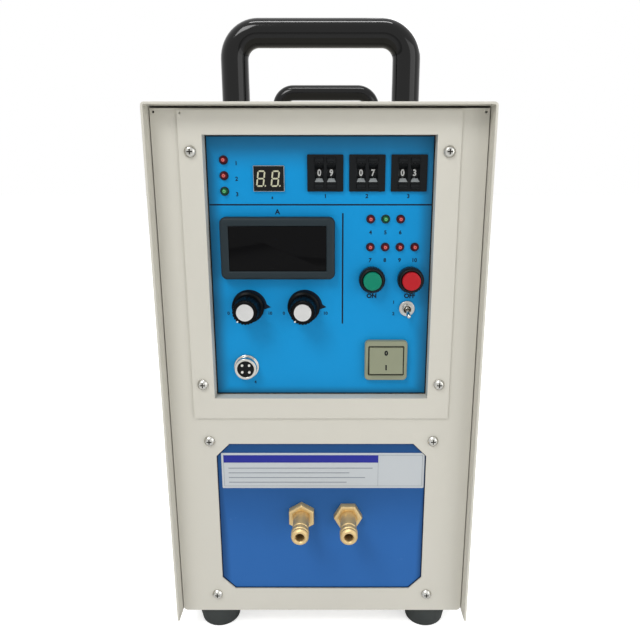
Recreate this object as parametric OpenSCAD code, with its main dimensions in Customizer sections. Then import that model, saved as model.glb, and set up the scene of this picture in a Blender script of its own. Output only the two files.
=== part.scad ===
// Induction heating machine: a folded sheet cabinet with its controls, brass outputs and inner works.
// Sizes are in millimetres. The front looks along -Y, +X is to the right and +Z is up.
// The origin is on the floor, under the middle of the cabinet.

/* [Cabinet] */
// Width over the cover
body_w = 225; // [221:1:245]
// Depth of the cover
body_d = 480; // [465:1:540]
// Height of the cover
body_h = 384; // [380:1:420]
// Thickness of the sheet metal
sheet = 1.5; // [1.2:0.1:2]
// Outer radius of the cover's bends
cover_bend_r = 2.5; // [2.1:0.1:4]
// How far the panels sit behind the cover's edges
panel_recess = 12.5; // [9:0.5:16]
// Gap between the panels and the cover's walls
panel_gap = 0.7; // [0.3:0.1:1.2]
// Gap between the panels and the cover's top
top_gap = 1.5; // [0.5:0.1:3]
// Depth of the flanges folded back from the panels
panel_flange = 12; // [8:1:16]
// Radius of the front wall's lower corners
wall_corner_r = 3; // [2:0.5:5]
// Height of the floor's folded sides
floor_side_h = 20; // [17:1:24]

/* [Cover vents] */
// Number of slots in each side of the cover
vent_count = 12; // [6:1:14]
// Width of a slot
vent_w = 3; // [2:0.5:5]
// Height of a slot
vent_h = 70; // [40:1:90]
// Distance from slot to slot
vent_pitch = 10; // [8:0.5:12]

/* [Feet] */
// Height of a foot
foot_h = 20; // [17:1:30]
// Diameter of a foot at its top
foot_top_d = 38; // [32:1:44]
// Diameter of a foot at the floor
foot_bottom_d = 30; // [24:1:32]
// Distance of a foot's centre from the cover's side
foot_side_inset = 28; // [26:0.5:30]
// Distance of a foot's centre from the cover's front or rear edge
foot_end_inset = 33; // [32:0.5:40]

/* [Handles] */
// Distance between the legs of a handle
handle_pitch = 118.5; // [100:0.5:140]
// Thickness of the handle's bar
handle_bar_d = 19; // [16:0.5:21]
// Height of the handle over the cover
handle_h = 58; // [50:1:70]
// Radius of the handle's corners, on the bar's middle line
handle_corner_r = 17; // [11:0.5:20]
// Distance of the front handle from the cover's front edge
front_handle_inset = 50; // [40:1:80]
// Distance of the rear handle from the cover's rear edge
rear_handle_inset = 40; // [36:1:80]

/* [Panel frame] */
// Gap between the frame's top and the front wall's top
frame_drop = 1; // [0:0.5:4]
// Width of the frame's four sides, on a front wall of the usual width
frame_side_w = 15.5; // [14:0.5:18]
// Depth of the control panel behind the frame's face
frame_depth = 10; // [6:0.5:12]
// Distance of the frame's screws from its top and bottom edges
frame_screw_drop = 26.2; // [20:0.2:40]
// Space in the opening below the power switch
opening_low_gap = 11.8; // [8:0.2:16]

/* [Insulating board] */
// Space between the cut-out in front of the board and the front wall's sides
window_side_gap = 32; // [28:0.5:38]
// Space between the cut-out and the panel frame
window_top_gap = 21; // [16:0.5:26]
// Height of the cut-out over the front wall's lower edge
window_rise = 19.8; // [18:0.2:24]
// Size of the cut-out's cut corners
window_chamfer = 10; // [6:0.5:14]
// Thickness of the board
board_t = 4; // [3:0.5:6]
// How far the board reaches past the cut-out
board_margin = 12; // [10:0.5:14]
// Distance of the board's screws from the sides of the cut-out
board_screw_side = 4.4; // [3.4:0.2:6]
// Distance of the board's upper screws over the cut-out
board_screw_top = 2.4; // [2.2:0.2:6]
// Distance of the board's lower screws under the cut-out
board_screw_low = 4.8; // [3.4:0.2:6]

/* [Output connectors] */
// Distance between the connectors
output_pitch = 35.4; // [32:0.2:40]
// Place of the pair to the right of the middle
output_x = 2.4; // [-5:0.2:6]
// Height of the connectors over the middle of the cut-out
output_lift = 2.8; // [0:0.2:8]
// How far a connector stands out of the board
output_reach = 31.5; // [26:0.5:40]
// Diameter of a connector's tube
output_d = 12; // [11:0.5:13]
// Diameter of the water bore
output_bore_d = 6.3; // [5:0.1:6.6]
// Size across the flats of the connector's nut
output_nut_af = 19; // [17:0.5:22]
// Thickness of the connector's nut
output_nut_t = 6; // [4:0.5:8]

/* [Meter and display] */
// Width of the meter's bezel
meter_w = 79; // [77:0.5:80]
// Height of the meter's bezel
meter_h = 43; // [40:0.5:44]
// How far the bezel stands out
meter_proud = 7; // [4:0.5:9]
// Space between the meter and the opening's left side
meter_side_gap = 8; // [6:0.5:10]
// Space between the timers and the meter below them
meter_gap = 16.9; // [12:0.1:20]
// Width of the display
display_w = 20.9; // [18:0.1:22]
// Height of the display
display_h = 17; // [15:0.1:19]
// How far the display stands out
display_proud = 1.6; // [0.5:0.1:3]
// Space between the display and the opening's left side
display_side_gap = 31.75; // [24:0.05:36]
// Space between the display and the opening's top
display_top_gap = 19.7; // [12:0.1:24]

/* [Lamps] */
// Diameter of a lamp's lens
lamp_d = 5; // [4:0.1:6]
// Distance from lamp to lamp
lamp_pitch = 10.3; // [9:0.1:11.5]
// Distance of the lamp column from the opening's left side
column_side_gap = 11.9; // [8:0.1:16]
// Distance of the column's first lamp below the opening's top
column_drop = 16; // [12:0.5:24]
// Distance of the last lamp of the rows from the opening's right side
row_side_gap = 11.5; // [8:0.1:16]
// Distance of the upper lamp row below the timers
upper_row_gap = 18.6; // [10:0.2:22]
// Distance from the upper lamp row to the lower one
row_pitch = 19.3; // [12:0.1:22]

/* [Timers] */
// Width and height of a timer's bezel
timer_size = 24.4; // [23:0.1:25.5]
// Space between two timers
timer_gap = 3.9; // [2:0.1:6]
// Space between the last timer and the opening's right side
timer_side_gap = 4.8; // [3:0.1:8]
// Space between the timers and the opening's top
timer_top_gap = 12.4; // [8:0.1:18]
// Space between the display and the first timer
timer_display_gap = 15.55; // [10:0.05:20]
// How far a timer stands out
timer_proud = 1.8; // [1:0.1:2.4]
// Depth of a timer behind the panel
timer_depth = 26; // [24:0.5:32]
// Distance between the two digits of a timer
digit_pitch = 8.2; // [7.6:0.1:8.8]
// Height of a key
key_h = 3.6; // [3:0.1:3.8]
// How far a key stands out of its timer, which is its travel too
key_proud = 1; // [0.6:0.1:1.4]

/* [Knobs] */
// Diameter of a knob's skirt
knob_skirt_d = 23.2; // [21:0.2:26]
// Diameter of a knob's grip
knob_grip_d = 18; // [17:0.2:19]
// Height of a knob over the panel
knob_h = 19; // [16:0.5:22]
// Diameter of a knob's cap
knob_cap_d = 12.8; // [11:0.1:13.5]
// Distance from knob to knob
knob_pitch = 39.6; // [36:0.2:42]
// Space between the left knob and the opening's left side
knob_side_gap = 13.6; // [8:0.2:18]
// Space between the meter and the knobs
knob_gap = 9.1; // [6:0.1:14]

/* [Buttons] */
// Diameter of a button's bezel
button_bezel_d = 18.8; // [17:0.1:20]
// How far the bezel stands out
button_bezel_h = 7.5; // [5:0.5:10]
// Diameter of a button's cap
button_cap_d = 12.7; // [11:0.1:13.4]
// How far the cap stands out of its bezel
button_cap_proud = 2.8; // [2:0.1:4]
// Travel of a button
button_travel = 2.5; // [1.5:0.1:3]
// Distance from button to button
button_pitch = 27; // [22:0.5:29]
// Space between the stop button and the opening's right side
button_side_gap = 4.6; // [3:0.1:8]
// Distance from the lower lamp row to the buttons' bezels
button_gap = 13.3; // [10:0.1:16]

/* [Toggle switch] */
// Space between the toggle switch's nut and the opening's right side
toggle_side_gap = 10.3; // [6:0.1:16]
// Space between the buttons and the toggle switch's nut
toggle_gap = 6.1; // [5:0.1:10]
// Diameter of the switch's threaded neck
toggle_neck_d = 6.4; // [6:0.1:7]
// Length of the lever out of the neck
toggle_lever_l = 10.5; // [8:0.5:13]
// Angle of the lever below level at rest
toggle_tilt = 13; // [10:0.5:14]

/* [Power switch] */
// Width of the power switch's frame
switch_w = 30.7; // [30:0.1:33]
// Height of the power switch's frame
switch_h = 29.8; // [28:0.1:32]
// How far the frame stands out
switch_proud = 4; // [3.4:0.1:6]
// Width of the rocker
rocker_w = 24.1; // [22:0.1:25]
// Radius of the rocker's ends about its pivot
rocker_r = 10.2; // [9.5:0.1:10.6]
// Angle through which the rocker rocks
rocker_angle = 13; // [10:0.5:15]
// Space between the power switch and the opening's right side
switch_side_gap = 14.65; // [8:0.05:20]
// Space between the toggle switch's nut and the power switch
switch_gap = 17.9; // [12:0.1:22]

/* [Remote socket] */
// Diameter of the socket's flange
socket_flange_d = 18.2; // [17:0.1:20]
// Diameter of the socket's shell
socket_shell_d = 15.8; // [15:0.1:16.5]
// Diameter of the socket's insert
socket_insert_d = 12.6; // [11.5:0.1:13]
// How far the shell stands out
socket_proud = 7; // [5:0.5:10]
// Space between the socket and the opening's left side
socket_side_gap = 13.5; // [8:0.1:20]
// Space between the knobs and the socket
socket_gap = 24.1; // [16:0.1:26]

/* [Rear] */
// Size of the square fan
fan_size = 120; // [110:1:120]
// Thickness of the fan
fan_t = 38; // [32:1:38]
// Distance of the fan's middle below the cover's top
fan_drop = 94; // [80:1:110]
// How far a hose barb stands out of the rear panel
barb_reach = 30; // [24:0.5:40]
// Diameter of the cable gland's passage
gland_bore_d = 18; // [14:0.5:19]
// Distance of the cable gland from the cover's side
gland_side_inset = 42.5; // [32:0.5:50]
// Height of the cable gland over the rear panel's lower edge
gland_rise = 120; // [110:1:150]

/* [Fasteners] */
// Diameter of the case screws' thread
screw_d = 4; // [3.5:0.1:4.5]
// Diameter of the case screws' head
screw_head_d = 8; // [7:0.2:8.4]
// Length of the case screws
screw_l = 12; // [12:0.5:14]
// Diameter of the mounting bolts' thread
bolt_d = 6; // [5:0.5:6]
// Length of the mounting bolts
bolt_l = 16; // [15:0.5:20]

/* [Inner works] */
// Width of the transformer's core
core_w = 100; // [96:1:106]
// Depth of the transformer's core
core_d = 60; // [50:1:66]
// Height of the transformer's core
core_h = 70; // [64:1:76]
// Outer diameter of a cooling hose
hose_d = 13; // [11:0.5:14]
// Free space in front of the heat sink and behind it
sink_gap = 17; // [8:1:24]
// Free space beside the heat sink
sink_side_gap = 24; // [18:1:30]
// Space between two power modules
module_gap = 12; // [10:1:24]
// Diameter of a smoothing capacitor
capacitor_d = 48; // [40:1:50]
// Space between two smoothing capacitors
capacitor_gap = 7; // [4:0.5:10]

/* [Hidden] */

$fn = 48;

// Colours
paint = "#D3CDC0";
panel_blue = "#1E8CCB";
board_blue = "#2A5FAE";
gloss_black = "#17181A";
dark_grey = "#343A38";
slate = "#2C3A3F";
nickel = "#C9C9C4";
brass = "#C8A96A";
copper = "#B87346";
aluminium = "#C4C7C9";
switch_grey = "#9FA48C";

// Shared small sizes
cut = 1;
running_gap = 0.05;
slide_gap = 0.15;
hole_gap = 0.2;
arc_steps = 6;

// Cabinet levels and faces
base_z = foot_h;
cover_top_z = base_z + body_h;
cover_front_y = -body_d / 2;
front_y = cover_front_y + panel_recess;
front_back_y = front_y + sheet;
rear_y = -front_y;
rear_back_y = rear_y - sheet;
panel_w = body_w - 2 * (sheet + panel_gap);
panel_h = body_h - sheet - top_gap;
floor_top_z = base_z + sheet;
panel_top_z = base_z + panel_h;
bend_relief = 4;
usual_panel_w = 220.6;
wall_hole_d = 1.6;
wall_hole_inset = 2.4;
cover_screw_rise = 12;
cover_screw_pitch = 170;
rear_screw_rise = 9;
rear_screw_inset = 20.3;
rear_lip_h = 18;
vent_y = 100;
vent_rise = 130;

// Opening, filled by the parts from side to side and from top to bottom
parts_w = display_w + 3 * timer_size;
gap_share = (panel_w - parts_w) / (usual_panel_w - parts_w);
opening_gaps = display_side_gap + timer_display_gap + 2 * timer_gap + timer_side_gap;
opening_w = parts_w + opening_gaps * gap_share;
opening_left = -opening_w / 2;
opening_right = opening_w / 2;
toggle_nut_d = 11;
display_x = opening_left + display_side_gap * gap_share + display_w / 2;
display_drop = display_top_gap + display_h / 2;
timer_pitch = timer_size + timer_gap * gap_share;
timer_x = opening_right - timer_side_gap * gap_share - 2 * timer_pitch - timer_size / 2;
timer_drop = timer_top_gap + timer_size / 2;
timer_low = timer_top_gap + timer_size;
meter_x = opening_left + meter_side_gap * gap_share + meter_w / 2;
meter_drop = timer_low + meter_gap + meter_h / 2;
lamp_column_x = opening_left + column_side_gap * gap_share;
lamp_row_x = opening_right - row_side_gap * gap_share - 3 * lamp_pitch;
upper_row_drop = timer_low + upper_row_gap;
lower_row_drop = upper_row_drop + row_pitch;
knob_x = opening_left + knob_side_gap * gap_share + knob_skirt_d / 2;
knob_drop = meter_drop + meter_h / 2 + knob_gap + knob_skirt_d / 2;
button_x = opening_right - button_side_gap * gap_share - button_bezel_d / 2 - button_pitch;
button_drop = lower_row_drop + button_gap + button_bezel_d / 2;
toggle_x = opening_right - toggle_side_gap * gap_share - toggle_nut_d / 2;
toggle_drop = button_drop + button_bezel_d / 2 + toggle_gap + toggle_nut_d / 2;
switch_x = opening_right - switch_side_gap * gap_share - switch_w / 2;
switch_drop = toggle_drop + toggle_nut_d / 2 + switch_gap + switch_h / 2;
socket_x = opening_left + socket_side_gap * gap_share + socket_flange_d / 2;
socket_drop = knob_drop + knob_skirt_d / 2 + socket_gap + socket_flange_d / 2;
opening_h = switch_drop + switch_h / 2 + opening_low_gap;

// Panel frame and control panel
frame_border = frame_side_w * gap_share;
frame_screw_share = 0.4839;
frame_screw_inset = frame_border * frame_screw_share;
frame_w = opening_w + 2 * frame_border;
frame_h = opening_h + 2 * frame_border;
frame_top_z = panel_top_z - frame_drop;
opening_top_z = frame_top_z - frame_border;
opening_mid_z = opening_top_z - opening_h / 2;
frame_mid_z = frame_top_z - frame_h / 2;
frame_low_z = frame_top_z - frame_h;
frame_y = front_y - sheet;
control_y = frame_y + frame_depth;
frame_gap = 1;
frame_pin_hole_d = 1.4;
frame_pin_hole_inset = 2.1;
control_w = frame_w - frame_screw_inset;
control_h = frame_h - frame_border;
control_t = 1.5;

// Insulating board
board_y = front_back_y;
board_back_y = board_y + board_t;
window_w = panel_w - 2 * window_side_gap;
window_low_z = base_z + window_rise;
window_top_z = frame_low_z - window_top_gap;
window_h = window_top_z - window_low_z;
window_mid_z = (window_low_z + window_top_z) / 2;
board_w = window_w + 2 * board_margin;
board_h = window_h + 2 * board_margin;
board_screw_x = window_w / 2 + board_screw_side;
board_screw_low_z = window_low_z - board_screw_low;
board_screw_top_z = window_top_z + board_screw_top;

// Screws and bolts
screw_head_h = 2.6;
screw_rim_h = 0.6;
screw_slot_w = 0.9;
screw_slot_l = 4;
screw_slot_depth = 1.5;
bolt_head_af = 10;
bolt_head_h = 4;
bolt_nut_t = 4;
foot_web = 10;
foot_well_d = 14;
foot_edge_r = 2;
foot_x = body_w / 2 - foot_side_inset;
foot_y = body_d / 2 - foot_end_inset;

// Output connectors and their nuts
output_z = window_mid_z + output_lift;
output_flange_d = 20;
output_flange_t = 3;
output_tail_l = 14;
output_collar_d = output_d + 1;
output_collar_l = 7;
output_groove_d = output_d - 1.6;
output_groove_l = 1.6;
output_tip_d = output_d - 1.4;
output_tip_l = 1.6;
output_nut_turns = [30, 60];

// Meter and display
meter_corner_r = 4;
meter_body_inset = 2;
meter_body_depth = 50;
meter_window_border = 6;
meter_window_drop = 2;
meter_window_t = 1.5;
meter_window_corner_r = 1;
meter_edge = 1.2;
display_depth = 8;
display_corner_r = 0.4;
display_lip = 1.5;

// Lamps
lamp_rim_w = 0.6;
lamp_rim_t = 0.6;
lamp_proud = 3.2;
lamp_depth = 7;

// Timers
timer_edge = 0.7;
timer_wall = 0.7;
timer_plate_t = 3;
timer_corner_r = 0.6;
timer_body = timer_size - 2 * timer_edge;
cell_wall = 1.2;
timer_cell_w = digit_pitch - cell_wall;
timer_cell_h = timer_body - 2 * timer_wall;
timer_plate_low = timer_proud - timer_plate_t;
wheel_gap = 0.4;
wheel_room = 3.2;
wheel_side_gap = 0.7;
wheel_d = timer_cell_h - wheel_room;
wheel_w = timer_cell_w - 2 * wheel_side_gap;
wheel_low = timer_plate_low - wheel_gap - wheel_d / 2;
wheel_hub_d = 7;
wheel_hub_w = timer_cell_w - 2 * slide_gap;
axle_d = 3;
key_lip = 0.35;
key_w = timer_cell_w - cell_wall + slide_gap + running_gap;
key_lip_t = 0.8;
key_lip_gap = 0.1;
key_rib_w = 0.6;
key_rib_depth = 0.4;
key_z = timer_cell_h / 2 - slide_gap - key_lip - key_h / 2;
mouth_gap = 0.65;
mouth_slope_w = 1.2;
mouth_slope_h = 2.5;
digit_mouth_w = key_w + 2 * slide_gap;
digit_mouth_h = 2 * (key_z - key_h / 2 - slide_gap - mouth_gap);
digit_window_w = digit_mouth_w - 2 * mouth_slope_w;
digit_window_h = digit_mouth_h - 2 * mouth_slope_h;

// Knobs and potentiometers
knob_lift = 1;
knob_skirt_t = 3.4;
knob_skirt_edge = 1;
knob_rim = 1.2;
knob_cap_t = 1.2;
knob_flutes = 24;
knob_flute_d = 1.6;
knob_flute_depth = 0.4;
knob_well_d = 15;
knob_well_h = 6.6;
knob_pointer_w = 1;
knob_pointer_t = 0.5;
knob_pointer_angle = 230;
shaft_d = 6;
shaft_high = 15;
shaft_low = 5;
neck_d = 7;
neck_h = 5;
neck_nut_af = 10;
neck_nut_t = 2;
pot_d = 17;
pot_t = 9;
pot_base_t = 1.2;
pot_tag_l = 7;
pot_tag_w = 1.2;
pot_tag_pitch = 5;

// Buttons
button_body_d = 15.8;
button_body_depth = 24;
button_well_low = 1;
button_cap_l = 6;
button_stem_d = 5;
button_stem_l = 8;
button_edge = 0.8;
button_rib_w = 0.7;
button_rib_depth = 0.4;
button_ribs = 30;

// Toggle switch
toggle_neck_h = 5;
toggle_nut_t = 2;
toggle_pivot = 2;
toggle_ball_d = 4.1;
toggle_lever_d = 2.2;
toggle_tip_d = 3;
toggle_mouth_d = 5.4;
toggle_body_w = 8;
toggle_body_h = 13;
toggle_body_depth = 12;

// Power switch
switch_corner_r = 3;
switch_edge = 0.8;
switch_body_inset = 1.2;
switch_body_depth = 20;
rocker_depth = 2;
rocker_face = 0.6;
rocker_back = 5;
rocker_side_gap = 0.3;
rocker_end_gap = 0.25;
rocker_pin_d = 2.6;
rocker_pin_l = 1.5;
switch_well = 9;

// Remote socket
socket_flange_t = 1.5;
socket_tail_d = 14.4;
socket_depth = 12;
socket_nut_t = 2.5;
socket_nut_af = 18;
socket_insert_drop = 1.5;
socket_pin_d = 1.6;
socket_pin_pitch = 5.1;
socket_pin_h = 1.2;
socket_floor_t = 1.5;
socket_key_w = 1.6;

// Rear panel, fan, fittings and gland
grille_rings = 5;
grille_rib_w = 5;
grille_first_r = 12;
grille_spoke_w = 5;
fan_z = cover_top_z - fan_drop;
fan_wall = 3;
fan_bore_d = fan_size - 2 * fan_wall;
grille_ring_pitch = (fan_bore_d / 2 - grille_first_r) / grille_rings;
grille_ring_w = grille_ring_pitch - grille_rib_w;
gland_x = body_w / 2 - gland_side_inset;
rear_screw_x = panel_w / 2 - rear_screw_inset;
fan_hole_pitch = fan_size - 15;
fan_corner_r = 5;
fan_plate_t = 4;
fan_plate_d = 50;
fan_strut_w = 5;
rotor_gap = 1;
rotor_hub_d = 48;
rotor_tip_gap = 2;
rotor_blades = 7;
rotor_blade_t = 2;
rotor_blade_chord = 30;
rotor_blade_angle = 38;
rotor_shaft_d = 4;
fitting_af = 22;
fitting_hex_t = 6;
fitting_d = 12.8;
fitting_thread_l = 12;
fitting_nut_t = 4;
barb_d = 10;
barb_ridge = 0.9;
barb_count = 3;
nipple_d = 8;
nipple_l = 12;
gland_thread_d = 25;
gland_af = 33;
gland_hex_t = 5;
gland_cap_d = 30;
gland_cap_l = 20;
gland_cap_taper = 4;
gland_nut_t = 4;
gland_tail_l = 8;

// Inner works
core_y = board_back_y + output_flange_t + output_tail_l + 15 * running_gap;
core_window_w = 24;
core_window_h = 42;
core_stand_w = 22;
core_mid_z = output_z;
winding_rear_gap = 14;
winding_bar_t = 8;
primary_t = 4;
primary_h = 32;
primary_end = 6;
coil_gap = 0.5;
capacitor_foot_gap = 12;
capacitor_row_gap = 5;
capacitor_rim_h = 4;
capacitor_drop = 1;
capacitor_pitch_x = capacitor_d + capacitor_gap;
capacitor_pitch_y = capacitor_d + capacitor_row_gap;
capacitor_rear_y = foot_y - capacitor_foot_gap - capacitor_d / 2;
capacitor_front_y = capacitor_rear_y - capacitor_pitch_y - capacitor_d / 2;
film_d = 56;
film_h = 48;
film_gap = 9;
film_side_gap = 5.1;
film_w = body_w / 2 - screw_l - film_side_gap - output_x - core_w / 2 - film_gap;
hose_gap = 4;
winding_end_y = core_y + core_d + winding_rear_gap;
sink_front_y = winding_end_y + nipple_l + sink_gap;
sink_l = capacitor_front_y - sink_gap - sink_front_y;
sink_mid_y = sink_front_y + sink_l / 2;
sink_w = panel_w - 2 * sheet - 2 * sink_side_gap;
works_h = output_z - hose_d / 2 - hose_gap - floor_top_z;
sink_share = 0.55;
sink_base_share = 0.3;
module_share = 0.41;
sink_h = works_h * sink_share;
sink_base_t = sink_h * sink_base_share;
sink_fins = 13;
sink_fin_t = 3;
module_w = 94;
module_h = works_h * module_share;
module_pitch = sink_l / 3;
module_d = module_pitch - module_gap;
module_post_d = 8;
module_post_h = works_h - sink_h - module_h;
module_post_pitch = 28;
capacitor_h = works_h - capacitor_drop;
board_w_share = 0.92;
board_l_share = 0.94;
circuit_t = 1.6;
circuit_gap = 14;
post_d = 7;
post_inset = 6;
relay_w = 28;
relay_d = 28;
relay_h = 26;
chip_gap = 14;
chip_d = 24;
chip_h = 5;
hose_bore_d = nipple_d + 2 * running_gap;
hose_end_gap = 0.3;

// Points of an arc about a centre, from one angle to another
function arc(x, y, r, from, to) = [
  for (i = [0:arc_steps]) let (a = from + (to - from) * i / arc_steps) [x + r * cos(a), y + r * sin(a)]
];

// Outline of a rectangle with round corners, centred
function rounded_points(w, h, r) = concat(
  arc(w / 2 - r, h / 2 - r, r, 0, 90),
  arc(r - w / 2, h / 2 - r, r, 90, 180),
  arc(r - w / 2, r - h / 2, r, 180, 270),
  arc(w / 2 - r, r - h / 2, r, 270, 360)
);

// Outline that stands on its base line and has two round upper corners
function arch_points(w, h, r) = concat(
  [[w / 2, 0]],
  arc(w / 2 - r, h - r, r, 0, 90),
  arc(r - w / 2, h - r, r, 90, 180),
  [[-w / 2, 0]]
);

// Outline of a rectangle with cut corners, centred
function chamfered_points(w, h, c) = [
  [w / 2, h / 2 - c], [w / 2 - c, h / 2], [c - w / 2, h / 2], [-w / 2, h / 2 - c],
  [-w / 2, c - h / 2], [c - w / 2, -h / 2], [w / 2 - c, -h / 2], [w / 2, c - h / 2]
];

// Places on the panels
timer_xs = [for (i = [0:2]) timer_x + i * timer_pitch];
red_places = concat(
  [for (i = [0:1]) [lamp_column_x, column_drop + i * lamp_pitch]],
  [for (i = [0, 2]) [lamp_row_x + i * lamp_pitch, upper_row_drop]],
  [for (i = [0:3]) [lamp_row_x + i * lamp_pitch, lower_row_drop]]
);
green_places = [
  [lamp_column_x, column_drop + 2 * lamp_pitch],
  [lamp_row_x + lamp_pitch, upper_row_drop]
];
output_xs = [output_x - output_pitch / 2, output_x + output_pitch / 2];

// An outline drawn in X and Z, thick along Y from y on
module upright(y, depth) {
  translate([0, y + depth, 0]) rotate([90, 0, 0]) linear_extrude(depth) children();
}

// Turns children so that their z axis points out of the front
module out_front(x, y, z) {
  translate([x, y, z]) rotate([90, 0, 0]) children();
}

// Turns children so that their z axis points out of the rear
module out_rear(x, y, z) {
  translate([x, y, z]) rotate([90, 0, 180]) children();
}

// Places children on the control panel, at a distance below the opening's top
module on_panel(x, drop) {
  out_front(x, control_y, opening_top_z - drop) children();
}

module rod(d, low, high) {
  translate([0, 0, low]) cylinder(h = high - low, d = d);
}

module block(w, h, low, high) {
  translate([-w / 2, -h / 2, low]) cube([w, h, high - low]);
}

module round_block(w, h, r, low, high) {
  translate([0, 0, low]) linear_extrude(high - low) polygon(rounded_points(w, h, r));
}

module hexagon(af, low, high) {
  translate([0, 0, low]) cylinder(h = high - low, d = af / cos(30), $fn = 6);
}

// Cabinet
module cover_screw_places() {
  for (side = [-1, 1], i = [-1:1])
    translate([side * body_w / 2, i * cover_screw_pitch, base_z + cover_screw_rise])
      rotate([0, side * 90, 0]) children();
}

module handle_bolt_places() {
  for (y = [cover_front_y + front_handle_inset, -cover_front_y - rear_handle_inset], side = [-1, 1])
    translate([side * handle_pitch / 2, y, cover_top_z - sheet]) children();
}

module foot_places() {
  for (x = [-foot_x, foot_x], y = [-foot_y, foot_y]) translate([x, y, 0]) children();
}

module frame_screw_places(y) {
  for (side = [-1, 1], end = [-1, 1])
    out_front(
      side * (frame_w / 2 - frame_screw_inset), y,
      frame_mid_z + end * (frame_h / 2 - frame_screw_drop)
    ) children();
}

module board_screw_places(y) {
  for (side = [-1, 1], z = [board_screw_low_z, board_screw_top_z])
    out_front(side * board_screw_x, y, z) children();
}

module fan_screw_places(y) {
  for (side = [-1, 1], end = [-1, 1])
    out_rear(side * fan_hole_pitch / 2, y, fan_z + end * fan_hole_pitch / 2) children();
}

module rear_screw_places(y) {
  for (side = [-1, 1]) out_rear(side * rear_screw_x, y, base_z + rear_screw_rise) children();
}

module cover() {
  inner_w = body_w - 2 * sheet;
  color(paint) difference() {
    translate([0, 0, base_z]) upright(cover_front_y, body_d) difference() {
      polygon(arch_points(body_w, body_h, cover_bend_r));
      polygon(arch_points(inner_w, body_h - sheet, cover_bend_r - sheet));
      translate([-inner_w / 2, -cut]) square([inner_w, 2 * cut]);
    }
    handle_bolt_places() rod(bolt_d + hole_gap, -cut, sheet + cut);
    cover_screw_places() rod(screw_d + hole_gap, -sheet - cut, cut);
    for (i = [0:vent_count - 1])
      translate([0, vent_y + (i - (vent_count - 1) / 2) * vent_pitch, base_z + vent_rise])
        cube([body_w + 2 * cut, vent_w, vent_h], center = true);
  }
}

module wall_flanges(y, low) {
  for (side = [-1, 1])
    translate([side * (panel_w - sheet) / 2 - sheet / 2, y, low])
      cube([sheet, panel_flange, panel_top_z - low]);
  translate([-panel_w / 2, y, panel_top_z - sheet]) cube([panel_w, panel_flange, sheet]);
}

module front_wall() {
  upright(front_y, sheet) difference() {
    translate([0, panel_top_z]) rotate(180) polygon(arch_points(panel_w, panel_h, wall_corner_r));
    translate([0, opening_mid_z])
      square([opening_w + 2 * (sheet + frame_gap), opening_h + 2 * (sheet + frame_gap)], center = true);
    translate([0, window_mid_z]) polygon(chamfered_points(window_w, window_h, window_chamfer));
  }
}

module chassis() {
  floor_y = front_y + bend_relief;
  color(paint) difference() {
    union() {
      front_wall();
      wall_flanges(front_y, base_z + wall_corner_r);
      translate([wall_corner_r - panel_w / 2, front_y, base_z])
        cube([panel_w - 2 * wall_corner_r, rear_back_y - front_y, sheet]);
      translate([-panel_w / 2, floor_y, base_z]) cube([panel_w, rear_back_y - floor_y, sheet]);
      for (side = [-1, 1])
        translate([side * (panel_w - sheet) / 2 - sheet / 2, floor_y, base_z])
          cube([sheet, rear_back_y - floor_y, floor_side_h]);
      translate([-panel_w / 2, rear_back_y - sheet, base_z]) cube([panel_w, sheet, rear_lip_h]);
    }
    for (side = [-1, 1])
      out_front(side * (panel_w / 2 - wall_hole_inset), front_y, panel_top_z - wall_hole_inset)
        rod(wall_hole_d, -sheet - cut, cut);
    frame_screw_places(front_y) rod(screw_d + hole_gap, -sheet - cut, cut);
    board_screw_places(front_y) rod(screw_d + hole_gap, -sheet - cut, cut);
    cover_screw_places() rod(screw_d + hole_gap, -screw_l, cut);
    rear_screw_places(rear_back_y) rod(screw_d + hole_gap, -sheet - cut, cut);
    foot_places() rod(bolt_d + hole_gap, base_z - cut, floor_top_z + cut);
  }
}

module rear_panel() {
  color(paint) difference() {
    union() {
      translate([-panel_w / 2, rear_back_y, base_z]) cube([panel_w, sheet, panel_h]);
      wall_flanges(rear_back_y - panel_flange, base_z + floor_side_h + slide_gap);
    }
    out_rear(0, rear_back_y, fan_z) difference() {
      for (i = [0:grille_rings - 1])
        difference() {
          rod(2 * (grille_first_r + i * grille_ring_pitch + grille_ring_w), -cut, sheet + cut);
          rod(2 * (grille_first_r + i * grille_ring_pitch), -2 * cut, sheet + 2 * cut);
        }
      for (turn = [45, 135])
        rotate(turn) block(fan_size * sqrt(2), grille_spoke_w, -2 * cut, sheet + 2 * cut);
    }
    fan_screw_places(rear_back_y) rod(screw_d + hole_gap, -cut, sheet + cut);
    rear_screw_places(rear_back_y) rod(screw_d + hole_gap, -cut, sheet + cut);
    for (x = output_xs) out_rear(x, rear_back_y, output_z) rod(fitting_d + hole_gap, -cut, sheet + cut);
    out_rear(gland_x, rear_back_y, base_z + gland_rise) rod(gland_thread_d + hole_gap, -cut, sheet + cut);
  }
}

module panel_frame() {
  flange_w = opening_w + 2 * sheet;
  flange_h = opening_h + 2 * sheet;
  color(paint) difference() {
    union() {
      translate([-frame_w / 2, frame_y, frame_mid_z - frame_h / 2]) cube([frame_w, sheet, frame_h]);
      translate([-flange_w / 2, frame_y, opening_mid_z - flange_h / 2])
        cube([flange_w, frame_depth, flange_h]);
    }
    translate([-opening_w / 2, frame_y - cut, opening_mid_z - opening_h / 2])
      cube([opening_w, frame_depth + 2 * cut, opening_h]);
    frame_screw_places(frame_y) rod(screw_d + hole_gap, -sheet - cut, cut);
    out_front(frame_pin_hole_inset - frame_w / 2, frame_y, frame_top_z - frame_pin_hole_inset)
      rod(frame_pin_hole_d, -sheet - cut, cut);
  }
}

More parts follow.
